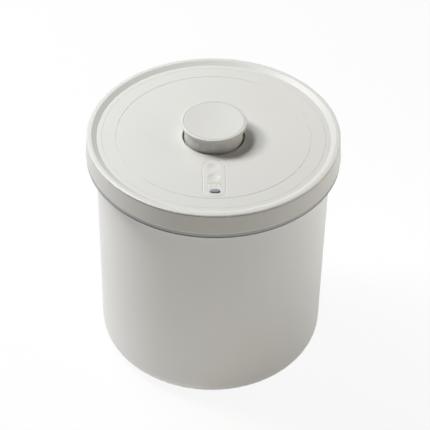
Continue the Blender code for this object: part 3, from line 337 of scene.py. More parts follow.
def grained_plastic(name, colour, roughness, sheen=0.5):
    """Moulded plastic: fine spark-eroded grain, faint flow clouds, and smoother patches from handling."""
    finish = Finish(name)
    clouds = finish.noise(9.0, 3.0)
    flow = finish.noise(55.0, 3.0, 0.6, (1.0, 1.0, 0.35))
    speckle = finish.noise(1400.0, 1.0)
    grain = finish.noise(2600.0, 2.0, 0.6)
    rubbed = finish.band(finish.noise(30.0, 4.0, 0.6), 0.55, 0.75)
    tone = finish.blend(clouds * 0.6 + flow * 0.4, shade(colour, 0.975), shade(colour, 1.02))
    tone = finish.blend(speckle * 0.10, tone, shade(colour, 0.86))
    finish.drive("Base Color", tone)
    finish.drive("Roughness", roughness + 0.05 * grain - 0.06 * rubbed)
    waves = finish.relief(flow, 0.00004, 0.15)
    finish.drive("Normal", finish.relief(grain, 0.00003, 0.35, waves))
    finish.drive("Specular IOR Level", sheen)
    return finish


def lined_plastic(name, colour, line_radius, line_width):
    """The shell plastic of the sunk panel or the knob, with painted shade darkening its ring line."""
    finish = grained_plastic(name, colour, 0.40, 0.45)
    # Painted shade: the base colour is darkened in a narrow band along the ring line, where the groove lies
    # in shade.
    away = abs(finish.radius() - line_radius)
    crease_shade = 1.0 - finish.band(away, line_width * 0.35, line_width * 0.75)
    patches = 0.7 + 0.3 * finish.noise(120.0, 3.0)
    finish.stain(crease_shade * patches * 0.6, shade(colour, 0.84))
    return finish


def pot_plastic(colour):
    """The shell plastic of the pot, with fine scuffs where it slides over a shelf."""
    finish = grained_plastic("pot_plastic", colour, 0.42)
    low = 1.0 - finish.band(finish.height(), 0.002, 0.016)
    scratches = finish.band(finish.noise(700.0, 2.0, 0.5, (1.0, 1.0, 0.08)), 0.58, 0.66)
    finish.stain(low * scratches * 0.3, shade(colour, 0.80))
    return finish


def soft_rubber(name, colour):
    """Matt silicone: a fine bloom of dust and a slightly uneven skin."""
    finish = Finish(name)
    bloom = finish.noise(160.0, 4.0, 0.65)
    pores = finish.noise(1800.0, 2.0)
    tone = finish.blend(bloom, shade(colour, 0.92), shade(colour, 1.10))
    finish.drive("Base Color", finish.blend(finish.band(pores, 0.6, 0.8) * 0.15, tone, (0.5, 0.51, 0.52)))
    finish.drive("Roughness", 0.55 + 0.15 * bloom)
    finish.drive("Normal", finish.relief(pores + 0.5 * bloom, 0.00003, 0.4))
    finish.drive("Specular IOR Level", 0.35)
    return finish


def drawn_steel(name, colour):
    """Bright steel with fine drawing lines and dull spots."""
    finish = Finish(name)
    lines = finish.noise(2500.0, 2.0, 0.5, (1.0, 1.0, 0.15))
    spots = finish.noise(300.0, 3.0)
    finish.drive("Base Color", finish.blend(spots, shade(colour, 0.85), shade(colour, 1.1)))
    finish.drive("Roughness", 0.24 + 0.16 * lines + 0.08 * spots)
    finish.drive("Normal", finish.relief(lines, 0.00002, 0.3))
    finish.drive("Metallic", 1.0)
    return finish


def studio_floor(colour):
    """A pale matt sheet that shows almost white to the camera and keeps the object's shadow."""
    finish = Finish("studio_floor")
    mottle = finish.noise(2.0, 3.0)
    finish.drive("Base Color", finish.blend(mottle, shade(colour, 0.99), colour))
    finish.drive("Roughness", 0.8 + 0.1 * mottle)
    camera = finish.add("ShaderNodeLightPath", output="Is Camera Ray")
    glossy = finish.add("ShaderNodeLightPath", output="Is Glossy Ray")
    seen = finish.add("ShaderNodeMath", {"operation": "MAXIMUM"}, {0: camera, 1: glossy})
    glow = finish.add("ShaderNodeEmission", None, {"Color": (1.0, 1.0, 1.0, 1.0), "Strength": 1.0})
    mixed = finish.add(
        "ShaderNodeMixShader", None,
        {0: seen * 0.90, 1: Value(finish, finish.shader.outputs[0]), 2: glow})
    output = finish.tree.nodes["Material Output"]
    finish.tree.links.new(mixed.socket, output.inputs["Surface"])
    return finish


# Modelling steps


def start_fresh():
    """Leaves edit mode and deselects every object."""
    if bpy.context.mode != "OBJECT":
        bpy.ops.object.mode_set(mode="OBJECT")
    bpy.ops.object.select_all(action="DESELECT")


def pick(*pieces):
    """Selects only these pieces, and makes the first one active."""
    start_fresh()
    for piece in pieces:
        piece.select_set(True)
    bpy.context.view_layer.objects.active = pieces[0]


def rename(piece, name):
    """Names a piece and its mesh."""
    piece.name = name
    piece.data.name = name


def fillet(corners, closed):
    """Points of an outline of (r, z, rounding) corners, with each corner rounded by an arc."""
    points = []
    last = len(corners) - 1
    for i, (r, z, rounding) in enumerate(corners):
        here = Vector((r, z))
        if not rounding or (not closed and i in (0, last)):
            points.append(here)
            continue
        back = (Vector(corners[i - 1][:2]) - here).normalized()
        ahead = (Vector(corners[(i + 1) % len(corners)][:2]) - here).normalized()
        opening = back.angle(ahead)
        sweep = math.pi - opening
        centre = here + (back + ahead).normalized() * rounding / math.sin(opening / 2)
        arm = here + back * rounding / math.tan(opening / 2) - centre
        side = 1.0 if back.x * ahead.y - back.y * ahead.x < 0 else -1.0
        steps = min(16, max(3, round(sweep / (math.pi / 2) * (4 + 500 * rounding))))
        for step in range(steps + 1):
            turn = side * sweep * step / steps
            cos, sin = math.cos(turn), math.sin(turn)
            points.append(centre + Vector((arm.x * cos - arm.y * sin, arm.x * sin + arm.y * cos)))
    return points


def hollow(radius, edge, depth, steps=12):
    """Corners of a round dish from its edge to the axis, part of a sphere."""
    sphere = (radius**2 + depth**2) / (2 * depth)
    radii = (radius * (1 - step / steps) for step in range(steps + 1))
    return [(r, edge - depth + sphere - math.sqrt(sphere**2 - r**2), 0) for r in radii]


def drawn(name, points):
    """A new piece in edit mode: a line of edges from point to point."""
    start_fresh()
    bpy.ops.mesh.primitive_plane_add(size=MARGIN)
    piece = bpy.context.object
    rename(piece, name)
    bpy.ops.object.mode_set(mode="EDIT")
    bpy.ops.mesh.merge(type="CENTER")
    bpy.ops.transform.translate(value=points[0])
    for here, ahead in zip(points, points[1:]):
        bpy.ops.mesh.extrude_region_move(TRANSFORM_OT_translate={"value": ahead - here})
    bpy.ops.mesh.select_all(action="SELECT")
    bpy.ops.mesh.remove_doubles(threshold=SAME_PLACE)
    return piece


def weld():
    """Merges the doubles of the piece in edit mode, and turns its faces outwards."""
    bpy.ops.mesh.select_all(action="SELECT")
    bpy.ops.mesh.remove_doubles(threshold=WELD)
    bpy.ops.mesh.normals_make_consistent(inside=False)


def turned(name, corners, facets, centre=(0.0, 0.0), stretch=(0.0, 0.0)):
    """Draws an outline, spins it about an upright axis, and pulls its halves apart where it is long."""
    closed = min(corners[0][0], corners[-1][0]) > 0
    route = []
    for spot in fillet(corners, closed):
        point = Vector((spot.x, 0.0, spot.y))
        if not route or (point - route[-1]).length >= SAME_PLACE:
            route.append(point)
    piece = drawn(name, route + route[:1] if closed else route)
    bpy.ops.mesh.spin(steps=facets, angle=math.tau, center=(0, 0, 0), axis=(0, 0, 1))
    weld()
    if any(stretch):
        bpy.ops.transform.rotate(value=math.pi / facets, orient_axis="Z", center_override=(0, 0, 0))
        for side in (1.0, -1.0):
            pick_vertices(piece, lambda co: side * (co.x * stretch[0] + co.y * stretch[1]) > 1e-9)
            bpy.ops.transform.translate(value=(side * stretch[0], side * stretch[1], 0.0))
    bpy.ops.mesh.select_all(action="SELECT")
    bpy.ops.transform.translate(value=(centre[0], centre[1], 0.0))
    start_fresh()
    return piece


def rod(name, radius, low, high, facets, centre=(0.0, 0.0), rounding=0):
    """An upright cylinder, whose lower edge can be rounded."""
    corners = [(0.0, low, 0), (radius, low, rounding), (radius, high, 0), (0.0, high, 0)]
    return turned(name, corners, facets, centre)


def pick_vertices(piece, test):
    """Selects the vertices of the piece in edit mode whose place passes the test."""
    bpy.ops.object.mode_set(mode="OBJECT")
    for part in (*piece.data.polygons, *piece.data.edges):
        part.select = False
    for vertex in piece.data.vertices:
        vertex.select = test(vertex.co)
    bpy.ops.object.mode_set(mode="EDIT")


def block(name, low, high, flare=0.0):
    """A box between two corners, with its top spread on all sides by a flare."""
    start_fresh()
    size = Vector(high) - Vector(low)
    middle = (Vector(high) + Vector(low)) / 2
    bpy.ops.mesh.primitive_cube_add(size=1.0)
    piece = bpy.context.object
    rename(piece, name)
    bpy.ops.object.mode_set(mode="EDIT")
    bpy.ops.transform.resize(value=size)
    if flare:
        pick_vertices(piece, lambda co: co.z > 0)
        spread = (1 + 2 * flare / size.x, 1 + 2 * flare / size.y, 1.0)
        bpy.ops.transform.resize(value=spread, center_override=(0, 0, size.z / 2))
    bpy.ops.mesh.select_all(action="SELECT")
    bpy.ops.transform.translate(value=middle)
    start_fresh()
    return piece


def copied(piece, move):
    """A copy of a piece with its own mesh, moved by a matrix."""
    copy = piece.copy()
    copy.data = piece.data.copy()
    copy.data.transform(move)
    bpy.context.scene.collection.objects.link(copy)
    return copy


def ring_of(piece, count, start):
    """Copies a piece round the axis into one mesh."""
    turns = (start + math.tau * i / count for i in range(count))
    copies = [copied(piece, Matrix.Rotation(turn, 4, "Z")) for turn in turns]
    bpy.data.objects.remove(piece)
    pick(*copies)
    bpy.ops.object.join()
    start_fresh()
    return copies[0]


def modify(piece, kind, **settings):
    """Applies a modifier with these settings."""
    pick(piece)
    modifier = piece.modifiers.new("step", kind)
    for name, setting in settings.items():
        setattr(modifier, name, setting)
    bpy.ops.object.modifier_apply(modifier=modifier.name)


def carve(piece, tool, operation="DIFFERENCE"):
    """Cuts a tool out of a piece, or welds it on."""
    modify(piece, "BOOLEAN", operation=operation, solver="EXACT", object=tool)
    bpy.data.objects.remove(tool)


def opening(name, low, edge, facets, centre, stretch=(0.0, 0.0)):
    """A cutter for an opening up through the panel's top, whose edge has the given corners."""
    above = PANEL_TOP + MARGIN
    corners = [(0.0, low, 0), (edge[0][0], low, 0), *edge, (edge[-1][0], above, 0), (0.0, above, 0)]
    return turned(name, corners, facets, centre, stretch)


def coil(name, node, centre, wire, turns):
    """A compression spring in the place of a CAD node, with closed end turns."""
    low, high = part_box(node)
    radius = (high.x - low.x) / 2 - wire
    bottom, top = low.z + wire, high.z - wire
    flat = 1 / turns
    closing = 2.2 * wire
    pitch = (top - bottom - 2 * closing) / (1 - 2 * flat)
    steps = round(turns * 32)
    points = []
    for step in range(steps + 1):
        share = step / steps
        if share < flat:
            z = bottom + closing * share / flat
        elif share > 1 - flat:
            z = top - closing * (1 - share) / flat
        else:
            z = bottom + closing + pitch * (share - flat)
        turn = math.tau * turns * share
        x, y = centre[0] + radius * math.cos(turn), centre[1] + radius * math.sin(turn)
        points.append(Vector((x, y, z)))
    drawn(name, points)
    bpy.ops.object.mode_set(mode="OBJECT")
    bpy.ops.object.convert(target="CURVE")
    curve = bpy.context.object.data
    curve.bevel_depth = wire
    curve.bevel_resolution = 4
    curve.use_fill_caps = True
    bpy.ops.object.convert(target="MESH")
    piece = bpy.context.object
    rename(piece, name)
    bpy.ops.object.mode_set(mode="EDIT")
    weld()
    start_fresh()
    return piece


# The finishes that were made, by name
FINISHES = {}


def complete(context, piece, body, finish, node):
    """Smooths a finished piece, gives it its finish, and puts it in the place of its CAD node."""
    pick(piece)
    bpy.ops.object.shade_smooth_by_angle(angle=math.radians(35))
    modify(piece, "WEIGHTED_NORMAL", keep_sharp=True)
    paint(context, piece, finish)
    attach(piece, body)
    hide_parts(node)
    start_fresh()


def paint(context, piece, name):
    """Puts the finish of that name on a piece, in the place of its materials."""
    colours = context.scene.canister_colours
    sizes = context.scene.canister_sizes
    makers = {
        "shell": lambda: grained_plastic("shell_plastic", colours.shell, 0.40, 0.45),
        "panel": lambda: lined_plastic("panel_plastic", colours.shell, sizes.line_radius, sizes.line_width),
        "knob": lambda: lined_plastic("knob_plastic", colours.shell, DISC_HIGH.x, sizes.line_width),
        "pot": lambda: pot_plastic(colours.pot),
        "inner": lambda: grained_plastic("inner_plastic", colours.inner, 0.38),
        "seal": lambda: soft_rubber("seal_silicone", colours.seal),
        "pin": lambda: soft_rubber("pin_silicone", colours.pin),
        "steel": lambda: drawn_steel("drawn_steel", colours.steel),
    }
    if name not in FINISHES:
        FINISHES[name] = makers[name]()
    piece.data.materials.clear()
    piece.data.materials.append(FINISHES[name].material)


# Operators


class CANISTER_OT_pot(bpy.types.Operator):
    """Makes the pot with its drafted wall, its large base fillet and its rounded mouth"""

    bl_idname = "canister.pot"
    bl_label = "Pot"

    def execute(self, context):
        sizes = context.scene.canister_sizes
        mouth, rim, under = POT_HIGH.x, POT_HIGH.z, POT_LOW.z
        neck, bend = rim - 0.0110, 0.4
        base = mouth - 0.0020
        slope = (mouth - base) / (neck - under - sizes.base_fillet)
        foot = base - slope * sizes.base_fillet
        floor = under + 0.0036
        socket = FOOT_HIGH.z + GAP
        ring_outer = FOOT_HIGH.x + GAP
        ring_inner = ring_outer - 0.0080
        recess, recess_top = ring_inner - 0.0060, under + 0.0015
        corners = [
            (0.0, under + 0.0009, 0),
            (0.0022, under + 0.0009, CRISP),
            (0.0024, recess_top, CRISP),
            (recess, recess_top, 0.0008),
            (recess + 0.0015, under, 0.0008),
            (ring_inner, under, SHARP),
            (ring_inner, socket, SHARP),
            (ring_outer, socket, SHARP),
            (ring_outer, under, SHARP),
            (foot, under, sizes.base_fillet),
            (mouth, neck, bend),
            (mouth, rim, 0.0012),
            (mouth - sizes.wall, rim, 0.0012),
            (mouth - sizes.wall, neck, bend),
            (foot - sizes.wall, floor, sizes.base_fillet - sizes.wall),
            (0.0, floor, 0),
        ]
        pot = turned("pot_wall", corners, sizes.facets)
        complete(context, pot, "pot", "pot", "container_body")
        return {"FINISHED"}


class CANISTER_OT_foot(bpy.types.Operator):
    """Makes the soft ring under the pot"""

    bl_idname = "canister.foot"
    bl_label = "Foot ring"

    def execute(self, context):
        sizes = context.scene.canister_sizes
        outer, top = FOOT_HIGH.x, FOOT_HIGH.z
        inner = outer - 0.0074
        corners = [(inner, top, SHARP), (inner, 0.0, SOFT), (outer, 0.0, SOFT), (outer, top, SHARP)]
        ring = turned("soft_foot_ring", corners, sizes.facets)
        complete(context, ring, "pot", "seal", "foot_ring")
        return {"FINISHED"}


class CANISTER_OT_cover(bpy.types.Operator):
    """Makes the lid's outer cover: flat rim, inner slope, shelf round the panel, and skirt"""

    bl_idname = "canister.cover"
    bl_label = "Lid cover"

    def execute(self, context):
        sizes = context.scene.canister_sizes
        skirt, skirt_end = COVER_HIGH.x, COVER_LOW.z
        wall = 0.0021
        top = skirt - 0.0010
        lip = top - 0.0003
        lip_end = RIM_TOP - 0.0012
        groove = 0.0006
        rim_inner = top - sizes.rim_width
        rim_foot = rim_inner - sizes.rim_slope
        shelf = PANEL_HIGH.x + 3 * FINE_GAP
        ledge_top = PANEL_TOP - PANEL_THICKNESS - GAP
        ledge_under = ledge_top - 0.0020
        ledge = shelf - 0.0040
        corners = [
            (shelf, PANEL_TOP, HAIR),
            (rim_foot, PANEL_TOP, 0.0008),
            (rim_inner, RIM_TOP, 0.0008),
            (lip - 0.0014, RIM_TOP, 0.0020),
            (lip, lip_end + 0.0006, 0.0007),
            (lip, lip_end, SHARP),
            (lip - groove, lip_end - 0.0001, HAIR),
            (lip - groove, lip_end - groove, HAIR),
            (lip - 0.0001, lip_end - 0.0008, SOFT),
            (skirt - 0.0003, skirt_end + 0.0032, 0.0040),
            (skirt, skirt_end + 0.0016, 0.0040),
            (GASKET_HIGH.x, skirt_end, SHARP),
            (skirt - wall, skirt_end, SOFT),
            (top - wall, RIM_TOP - wall, 0.0016),
            (rim_inner, RIM_TOP - wall, 0.0010),
            (rim_foot, PANEL_TOP - wall, 0.0010),
            (shelf + wall, ledge_under, 0.0006),
            (ledge, ledge_under, CRISP),
            (ledge, ledge_top, SHARP),
            (shelf, ledge_top, SHARP),
        ]
        cover = turned("lid_outer_cover", corners, sizes.facets)
        complete(context, cover, "lid", "shell", "lid_cover")
        return {"FINISHED"}


class CANISTER_OT_panel(bpy.types.Operator):
    """Makes the sunk panel with its ring line, the knob's bore and the valve opening"""

    bl_idname = "canister.panel"
    bl_label = "Top panel"

    def execute(self, context):
        sizes = context.scene.canister_sizes
        bore = sizes.bore_radius
        guide = sizes.barrel_radius + 0.0004
        collar = bore + 0.0018
        end = PANEL_LOW.z
        step = end + 0.0022
        under = PANEL_TOP - PANEL_THICKNESS
        half_line = sizes.line_width / 2
        corners = [
            (bore, PANEL_TOP, 0.0005),
            (sizes.line_radius - half_line, PANEL_TOP, SHARP),
            (sizes.line_radius, PANEL_TOP - sizes.line_depth, HAIR),
            (sizes.line_radius + half_line, PANEL_TOP, SHARP),
            (PANEL_HIGH.x, PANEL_TOP, HAIR),
            (PANEL_HIGH.x, under, SHARP),
            (collar, under, SOFT),
            (collar, end, SHARP),
            (guide, end, SHARP),
            (guide, step, SHARP),
            (bore, step, SHARP),
        ]
        panel = turned("sunk_panel", corners, sizes.facets)
        hole = PLATE_RADIUS + FINE_GAP
        brink = hole + sizes.groove_slope
        edge = [
            (hole, PANEL_TOP - sizes.groove_depth, HAIR),
            (brink, PANEL_TOP, 0.0020),
            (brink + 0.0004, PANEL_TOP + 0.00002, 0),
        ]
        carve(panel, opening("pill", under - MARGIN, edge, 96, PLATE_CENTRE.xy, (0.0, PLATE_REACH)))
        complete(context, panel, "lid", "panel", "top_panel")
        return {"FINISHED"}


class CANISTER_OT_valve_plate(bpy.types.Operator):
    """Makes the pill-shaped valve cover with its finger dish, its comb mark and its two openings"""

    bl_idname = "canister.valve_plate"
    bl_label = "Valve cover"

    def execute(self, context):
        sizes = context.scene.canister_sizes
        flange = PLATE_HIGH.x
        flange_top = PANEL_TOP - PANEL_THICKNESS - GAP
        under = PLATE_LOW.z
        corners = [
            (0.0, PANEL_TOP, 0),
            (PLATE_RADIUS - sizes.groove_slope, PANEL_TOP, 0.0020),
            (PLATE_RADIUS, PANEL_TOP - sizes.groove_depth, HAIR),
            (PLATE_RADIUS, flange_top, SHARP),
            (flange, flange_top, SHARP),
            (flange, under, SHARP),
            (0.0, under, 0),
        ]
        plate = turned("valve_plate", corners, 96, PLATE_CENTRE.xy, (0.0, PLATE_REACH))
        self.cut_dish(plate, (0.0, BUTTON_CENTRE.y + 0.0152))
        for name, radius, rounding, facets, centre, reach in (
            ("hole", BUTTON_RADIUS + FINE_GAP, 0.00006, 64, BUTTON_CENTRE.xy, 0.0),
            ("slot", PIN_RADIUS + GAP, SOFT, 48, PIN_CENTRE.xy, PIN_REACH),
        ):
            edge = [(radius, PANEL_TOP, rounding), (radius + rounding, PANEL_TOP, 0)]
            carve(plate, opening(name, under - MARGIN, edge, facets, centre, (reach, 0.0)))
        self.cut_mark(plate)
        complete(context, plate, "lid", "shell", "valve_cover")
        return {"FINISHED"}

    def cut_dish(self, plate, centre):
        """The round finger dish, with a soft edge, a small terrace in its wall and an even floor."""
        profile = (
            (0.0, -0.00062, 0), (0.0020, -0.00058, 0.0040),
            (0.0040, -0.00026, 0.0010), (0.0043, -0.00025, 0.0010),
            (0.0058, 0.0, 0.0020), (0.0064, 0.00002, 0), (0.0064, MARGIN, 0), (0.0, MARGIN, 0),
        )
        corners = [(r, PANEL_TOP + z, rounding) for r, z, rounding in profile]
        carve(plate, turned("dish", corners, 64, centre))

    def cut_mark(self, plate):
        """A plain comb of shallow grooves between the button and the slot."""
        x, y, top = PLATE_CENTRE.x, -0.0706, PANEL_TOP + 0.0001
        reach, pitch, tip = 0.0061, 0.0042, 0.0001
        mark = block("bar", (x - reach, y + 0.0024, PANEL_TOP - 0.0002), (x + reach, y + 0.0031, top))
        for i in range(4):
            left = x - 0.0057 + i * pitch
            low, high = (left, y - 0.0024, PANEL_TOP - 0.00018), (left + tip, y + 0.0016, top)
            carve(mark, block("tooth", low, high, 0.0013), "UNION")
        carve(plate, mark)


class CANISTER_OT_release(bpy.types.Operator):
    """Makes the release button with its stem, and the washer and disc below it"""

    bl_idname = "canister.release"
    bl_label = "Release button"

    def execute(self, context):
        flange = BUTTON_RADIUS + BUTTON_FLANGE
        flange_top = PLATE_LOW.z - GAP
        flange_under = flange_top - 0.0012
        corners = [
            (0.0, BUTTON_LOW.z, 0),
            (BUTTON_STEM, BUTTON_LOW.z, CRISP),
            (BUTTON_STEM, flange_under, CRISP),
            (flange, flange_under, SHARP),
            (flange, flange_top, SHARP),
            (BUTTON_RADIUS, flange_top, SHARP),
            (BUTTON_RADIUS, PANEL_TOP, 0.00005),
        ]
        corners += hollow(BUTTON_RADIUS - 0.0001, PANEL_TOP, 0.00075)
        button = turned("release_cap", corners, 64, BUTTON_CENTRE.xy)
        complete(context, button, "release", "shell", "release_button")
        for name, node, finish in (
            ("release_washer", "release_seal", "seal"), ("release_disc", "release_poppet", "inner"),
        ):
            low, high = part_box(node)
            outer = (high.x - low.x) / 2
            hole = BUTTON_STEM + GAP
            rounding = (high.z - low.z) / 4
            corners = [
                (hole, low.z, HAIR), (outer, low.z, rounding),
                (outer, high.z, rounding), (hole, high.z, HAIR),
            ]
            ring = turned(name, corners, 48, BUTTON_CENTRE.xy)
            complete(context, ring, "release", finish, node)
        return {"FINISHED"}


class CANISTER_OT_indicator(bpy.types.Operator):
    """Makes the vacuum indicator pin"""

    bl_idname = "canister.indicator"
    bl_label = "Indicator pin"

    def execute(self, context):
        flange = PIN_RADIUS + PIN_FLANGE
        flange_top = PLATE_LOW.z - GAP
        flange_under = flange_top - 0.0010
        corners = [
            (0.0, PIN_HIGH.z, 0),
            (PIN_RADIUS, PIN_HIGH.z, 0.0007),
            (PIN_RADIUS, flange_top, SHARP),
            (flange, flange_top, SHARP),
            (flange, flange_under, SHARP),
            (0.0, flange_under, 0),
        ]
        pin = turned("vacuum_pin", corners, 64, PIN_CENTRE.xy, (PIN_REACH, 0.0))
        foot = rod("foot", 0.0013, PIN_LOW.z, flange_top - 0.0006, 32, PIN_CENTRE.xy, SHARP)
        carve(pin, foot, "UNION")
        complete(context, pin, "indicator", "pin", "indicator_pin")
        return {"FINISHED"}


class CANISTER_OT_gasket(bpy.types.Operator):
    """Makes the soft gasket, whose band shows below the skirt as a bead over a thin lip"""

    bl_idname = "canister.gasket"
    bl_label = "Lid gasket"

    def execute(self, context):
        sizes = context.scene.canister_sizes
        band_outer = GASKET_HIGH.x
        band_inner = POT_HIGH.x + GAP
        band_top = COVER_LOW.z - FINE_GAP
        lip_top = GASKET_LOW.z + 0.0004
        bead, bead_end = 0.0009, lip_top + 0.0011
        rib_outer = BASE_HIGH.x - BASE_THICKNESS - GAP
        rib_inner = rib_outer - 0.0027
        corners = [
            (rib_inner, GASKET_HIGH.z, CRISP),
            (rib_outer, GASKET_HIGH.z, CRISP),
            (rib_outer, band_top, SHARP),
            (band_outer, band_top, HAIR),
            (band_outer, bead_end, bead),
            (band_outer - bead, bead_end, SHARP),
            (band_outer - bead, lip_top, SHARP),
            (band_outer - 0.0001, lip_top, SHARP),
            (band_outer - 0.0002, GASKET_LOW.z, SHARP),
            (band_inner, GASKET_LOW.z, SOFT),
            (band_inner, band_top, SOFT),
            (rib_inner, band_top, CRISP),
        ]
        gasket = turned("soft_gasket", corners, sizes.facets)
        complete(context, gasket, "lid", "seal", "lid_gasket")
        return {"FINISHED"}


class CANISTER_OT_knob(bpy.types.Operator):
    """Makes the press knob: flanged shell and dished disc"""

    bl_idname = "canister.knob"
    bl_label = "Knob"

    def execute(self, context):
        sizes = context.scene.canister_sizes
        radius, top, end = KNOB_HIGH.x, KNOB_HIGH.z, KNOB_LOW.z
        barrel, wall, hole = sizes.barrel_radius, 0.0018, 0.0022
        recess = DISC_HIGH.x + 7 * FINE_GAP
        seat = DISC_LOW.z - GAP
        sink, sink_under = 0.0039, seat - 0.0012
        plate_under = seat - 0.0022
        flange_under = top - 0.0032
        boss, socket, boss_end = 0.0080, 0.0053, plate_under - 0.0035
        corners = [
            (hole, sink_under, HAIR),
            (sink, sink_under, HAIR),
            (sink, seat, HAIR),
            (recess, seat, SHARP),
            (recess, top, 0.00006),
            (radius, top, sizes.knob_round),
            (radius, flange_under, 0.0009),
            (barrel, flange_under, 0.0010),
            (barrel, end, CRISP),
            (barrel - wall, end, CRISP),
            (barrel - wall, plate_under, 0.0005),
            (boss, plate_under, 0.0005),
            (boss, boss_end, CRISP),
            (socket, boss_end, SHARP),
            (socket, plate_under, SHARP),
            (hole, plate_under, HAIR),
        ]
        shell = turned("knob_body", corners, 160)
        complete(context, shell, "knob", "knob", "knob_shell")
        disc, edge = DISC_HIGH.x, KNOB_HIGH.z - FINE_GAP
        corners = [(0.0, DISC_LOW.z, 0), (disc, DISC_LOW.z, SHARP), (disc, edge, 0.00006)]
        corners += hollow(disc - 0.0012, edge, sizes.dish_depth, 20)
        cap = turned("knob_disc", corners, 160)
        complete(context, cap, "knob", "knob", "knob_cap")
        return {"FINISHED"}


class CANISTER_OT_base(bpy.types.Operator):
    """Makes the lid's base plate with its well, spigot, ribs and ports"""

    bl_idname = "canister.base"
    bl_label = "Lid base"

    def execute(self, context):
        sizes = context.scene.canister_sizes
        top = BASE_HIGH.z
        under = top - BASE_THICKNESS
        leg = BASE_HIGH.x
        leg_end, spigot_end = top - 0.0060, under - 0.0060
        spigot = POT_HIGH.x - sizes.wall - 0.0010
        well = sizes.bore_radius + BASE_THICKNESS
        floor_under = NUT_HIGH.z + GAP
        floor = floor_under + BASE_THICKNESS
        corners = [
            (PUMP_PASSAGE, floor, CRISP),
            (sizes.bore_radius, floor, CRISP),
            (sizes.bore_radius, top, CRISP),
            (leg, top, CRISP),
            (leg, leg_end, SOFT),
            (leg - BASE_THICKNESS, leg_end, SOFT),
            (leg - BASE_THICKNESS, under, SOFT),
            (spigot, under, 0.0006),
            (spigot, spigot_end, 0.0007),
            (spigot - BASE_THICKNESS, spigot_end, 0.0005),
            (spigot - BASE_THICKNESS, under, 0.0006),
            (well, under, 0.0015),
            (well, floor_under, 0.0010),
            (PUMP_PASSAGE, floor_under, CRISP),
        ]
        base = turned("lid_base_plate", corners, sizes.facets)
        rib = block(
            "rib", (well - 0.0008, -0.0008, under + 0.0008), (spigot - 0.0012, 0.0008, under - 0.0030))
        carve(base, ring_of(rib, 8, math.pi / 8), "UNION")
        for centre, radius in ((BUTTON_CENTRE, 0.0026), (PIN_CENTRE, 0.0022)):
            carve(base, rod("port", radius, under - 0.0050, top + MARGIN, 48, centre.xy))
        complete(context, base, "lid", "inner", "lid_base")
        return {"FINISHED"}


class CANISTER_OT_pump(bpy.types.Operator):
    """Makes the pump's nut and slotted cap, which show below the lid"""

    bl_idname = "canister.pump"
    bl_label = "Pump"

    def execute(self, context):
        radius, low, high = NUT_HIGH.x, NUT_LOW.z, NUT_HIGH.z
        corners = [
            (PUMP_PASSAGE, high, CRISP), (radius, high, SOFT),
            (radius, low, 0.0008), (PUMP_PASSAGE, low, SOFT),
        ]
        nut = turned("clamp_nut", corners, 96)
        notch = rod("notch", 0.0022, low - MARGIN, high + MARGIN, 32, (radius, 0.0))
        carve(nut, ring_of(notch, 6, math.radians(30)))
        complete(context, nut, "lid", "inner", "cylinder_nut")
        outer, under, top = FILTER_HIGH.x, FILTER_LOW.z, FILTER_HIGH.z
        wall = 0.0015
        corners = [
            (0.0, under + wall, 0),
            (outer - wall, under + wall, 0.0008),
            (outer - wall, top, SHARP),
            (outer, top, SOFT),
            (outer, under, 0.0014),
            (0.0, under, 0),
        ]
        cap = turned("filter_grille", corners, 96)
        slot = block("slot", (0.0090, -0.00075, under - MARGIN), (0.0210, 0.00075, under + 0.0025))
        carve(cap, ring_of(slot, 12, math.radians(15)))
        complete(context, cap, "lid", "inner", "filter_cap")
        return {"FINISHED"}


class CANISTER_OT_screws(bpy.types.Operator):
    """Makes the four lid screws with their cross recesses"""

    bl_idname = "canister.screws"
    bl_label = "Lid screws"

    def execute(self, context):
        low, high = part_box(SCREW_NAMES[0])
        head = (high.x - low.x) / 2
        seat = low.z + 0.0017
        corners = [
            (0.0, low.z, 0),
            (head, low.z, 0.0012),
            (head, seat, SHARP),
            (0.0011, seat, SHARP),
            (0.0011, high.z, SOFT),
            (0.0, high.z, 0),
        ]
        screw = turned("screw", corners, 32)
        for x, y in ((0.0016, 0.0004), (0.0004, 0.0016)):
            carve(screw, block("recess", (-x, -y, low.z - MARGIN), (x, y, low.z + 0.0010)))
        for name in SCREW_NAMES:
            low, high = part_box(name)
            centre = (low + high) / 2
            copy = copied(screw, Matrix.Translation((centre.x, centre.y, 0.0)))
            copy.name = "set_" + name
            complete(context, copy, "lid", "steel", name)
        bpy.data.objects.remove(screw)
        return {"FINISHED"}


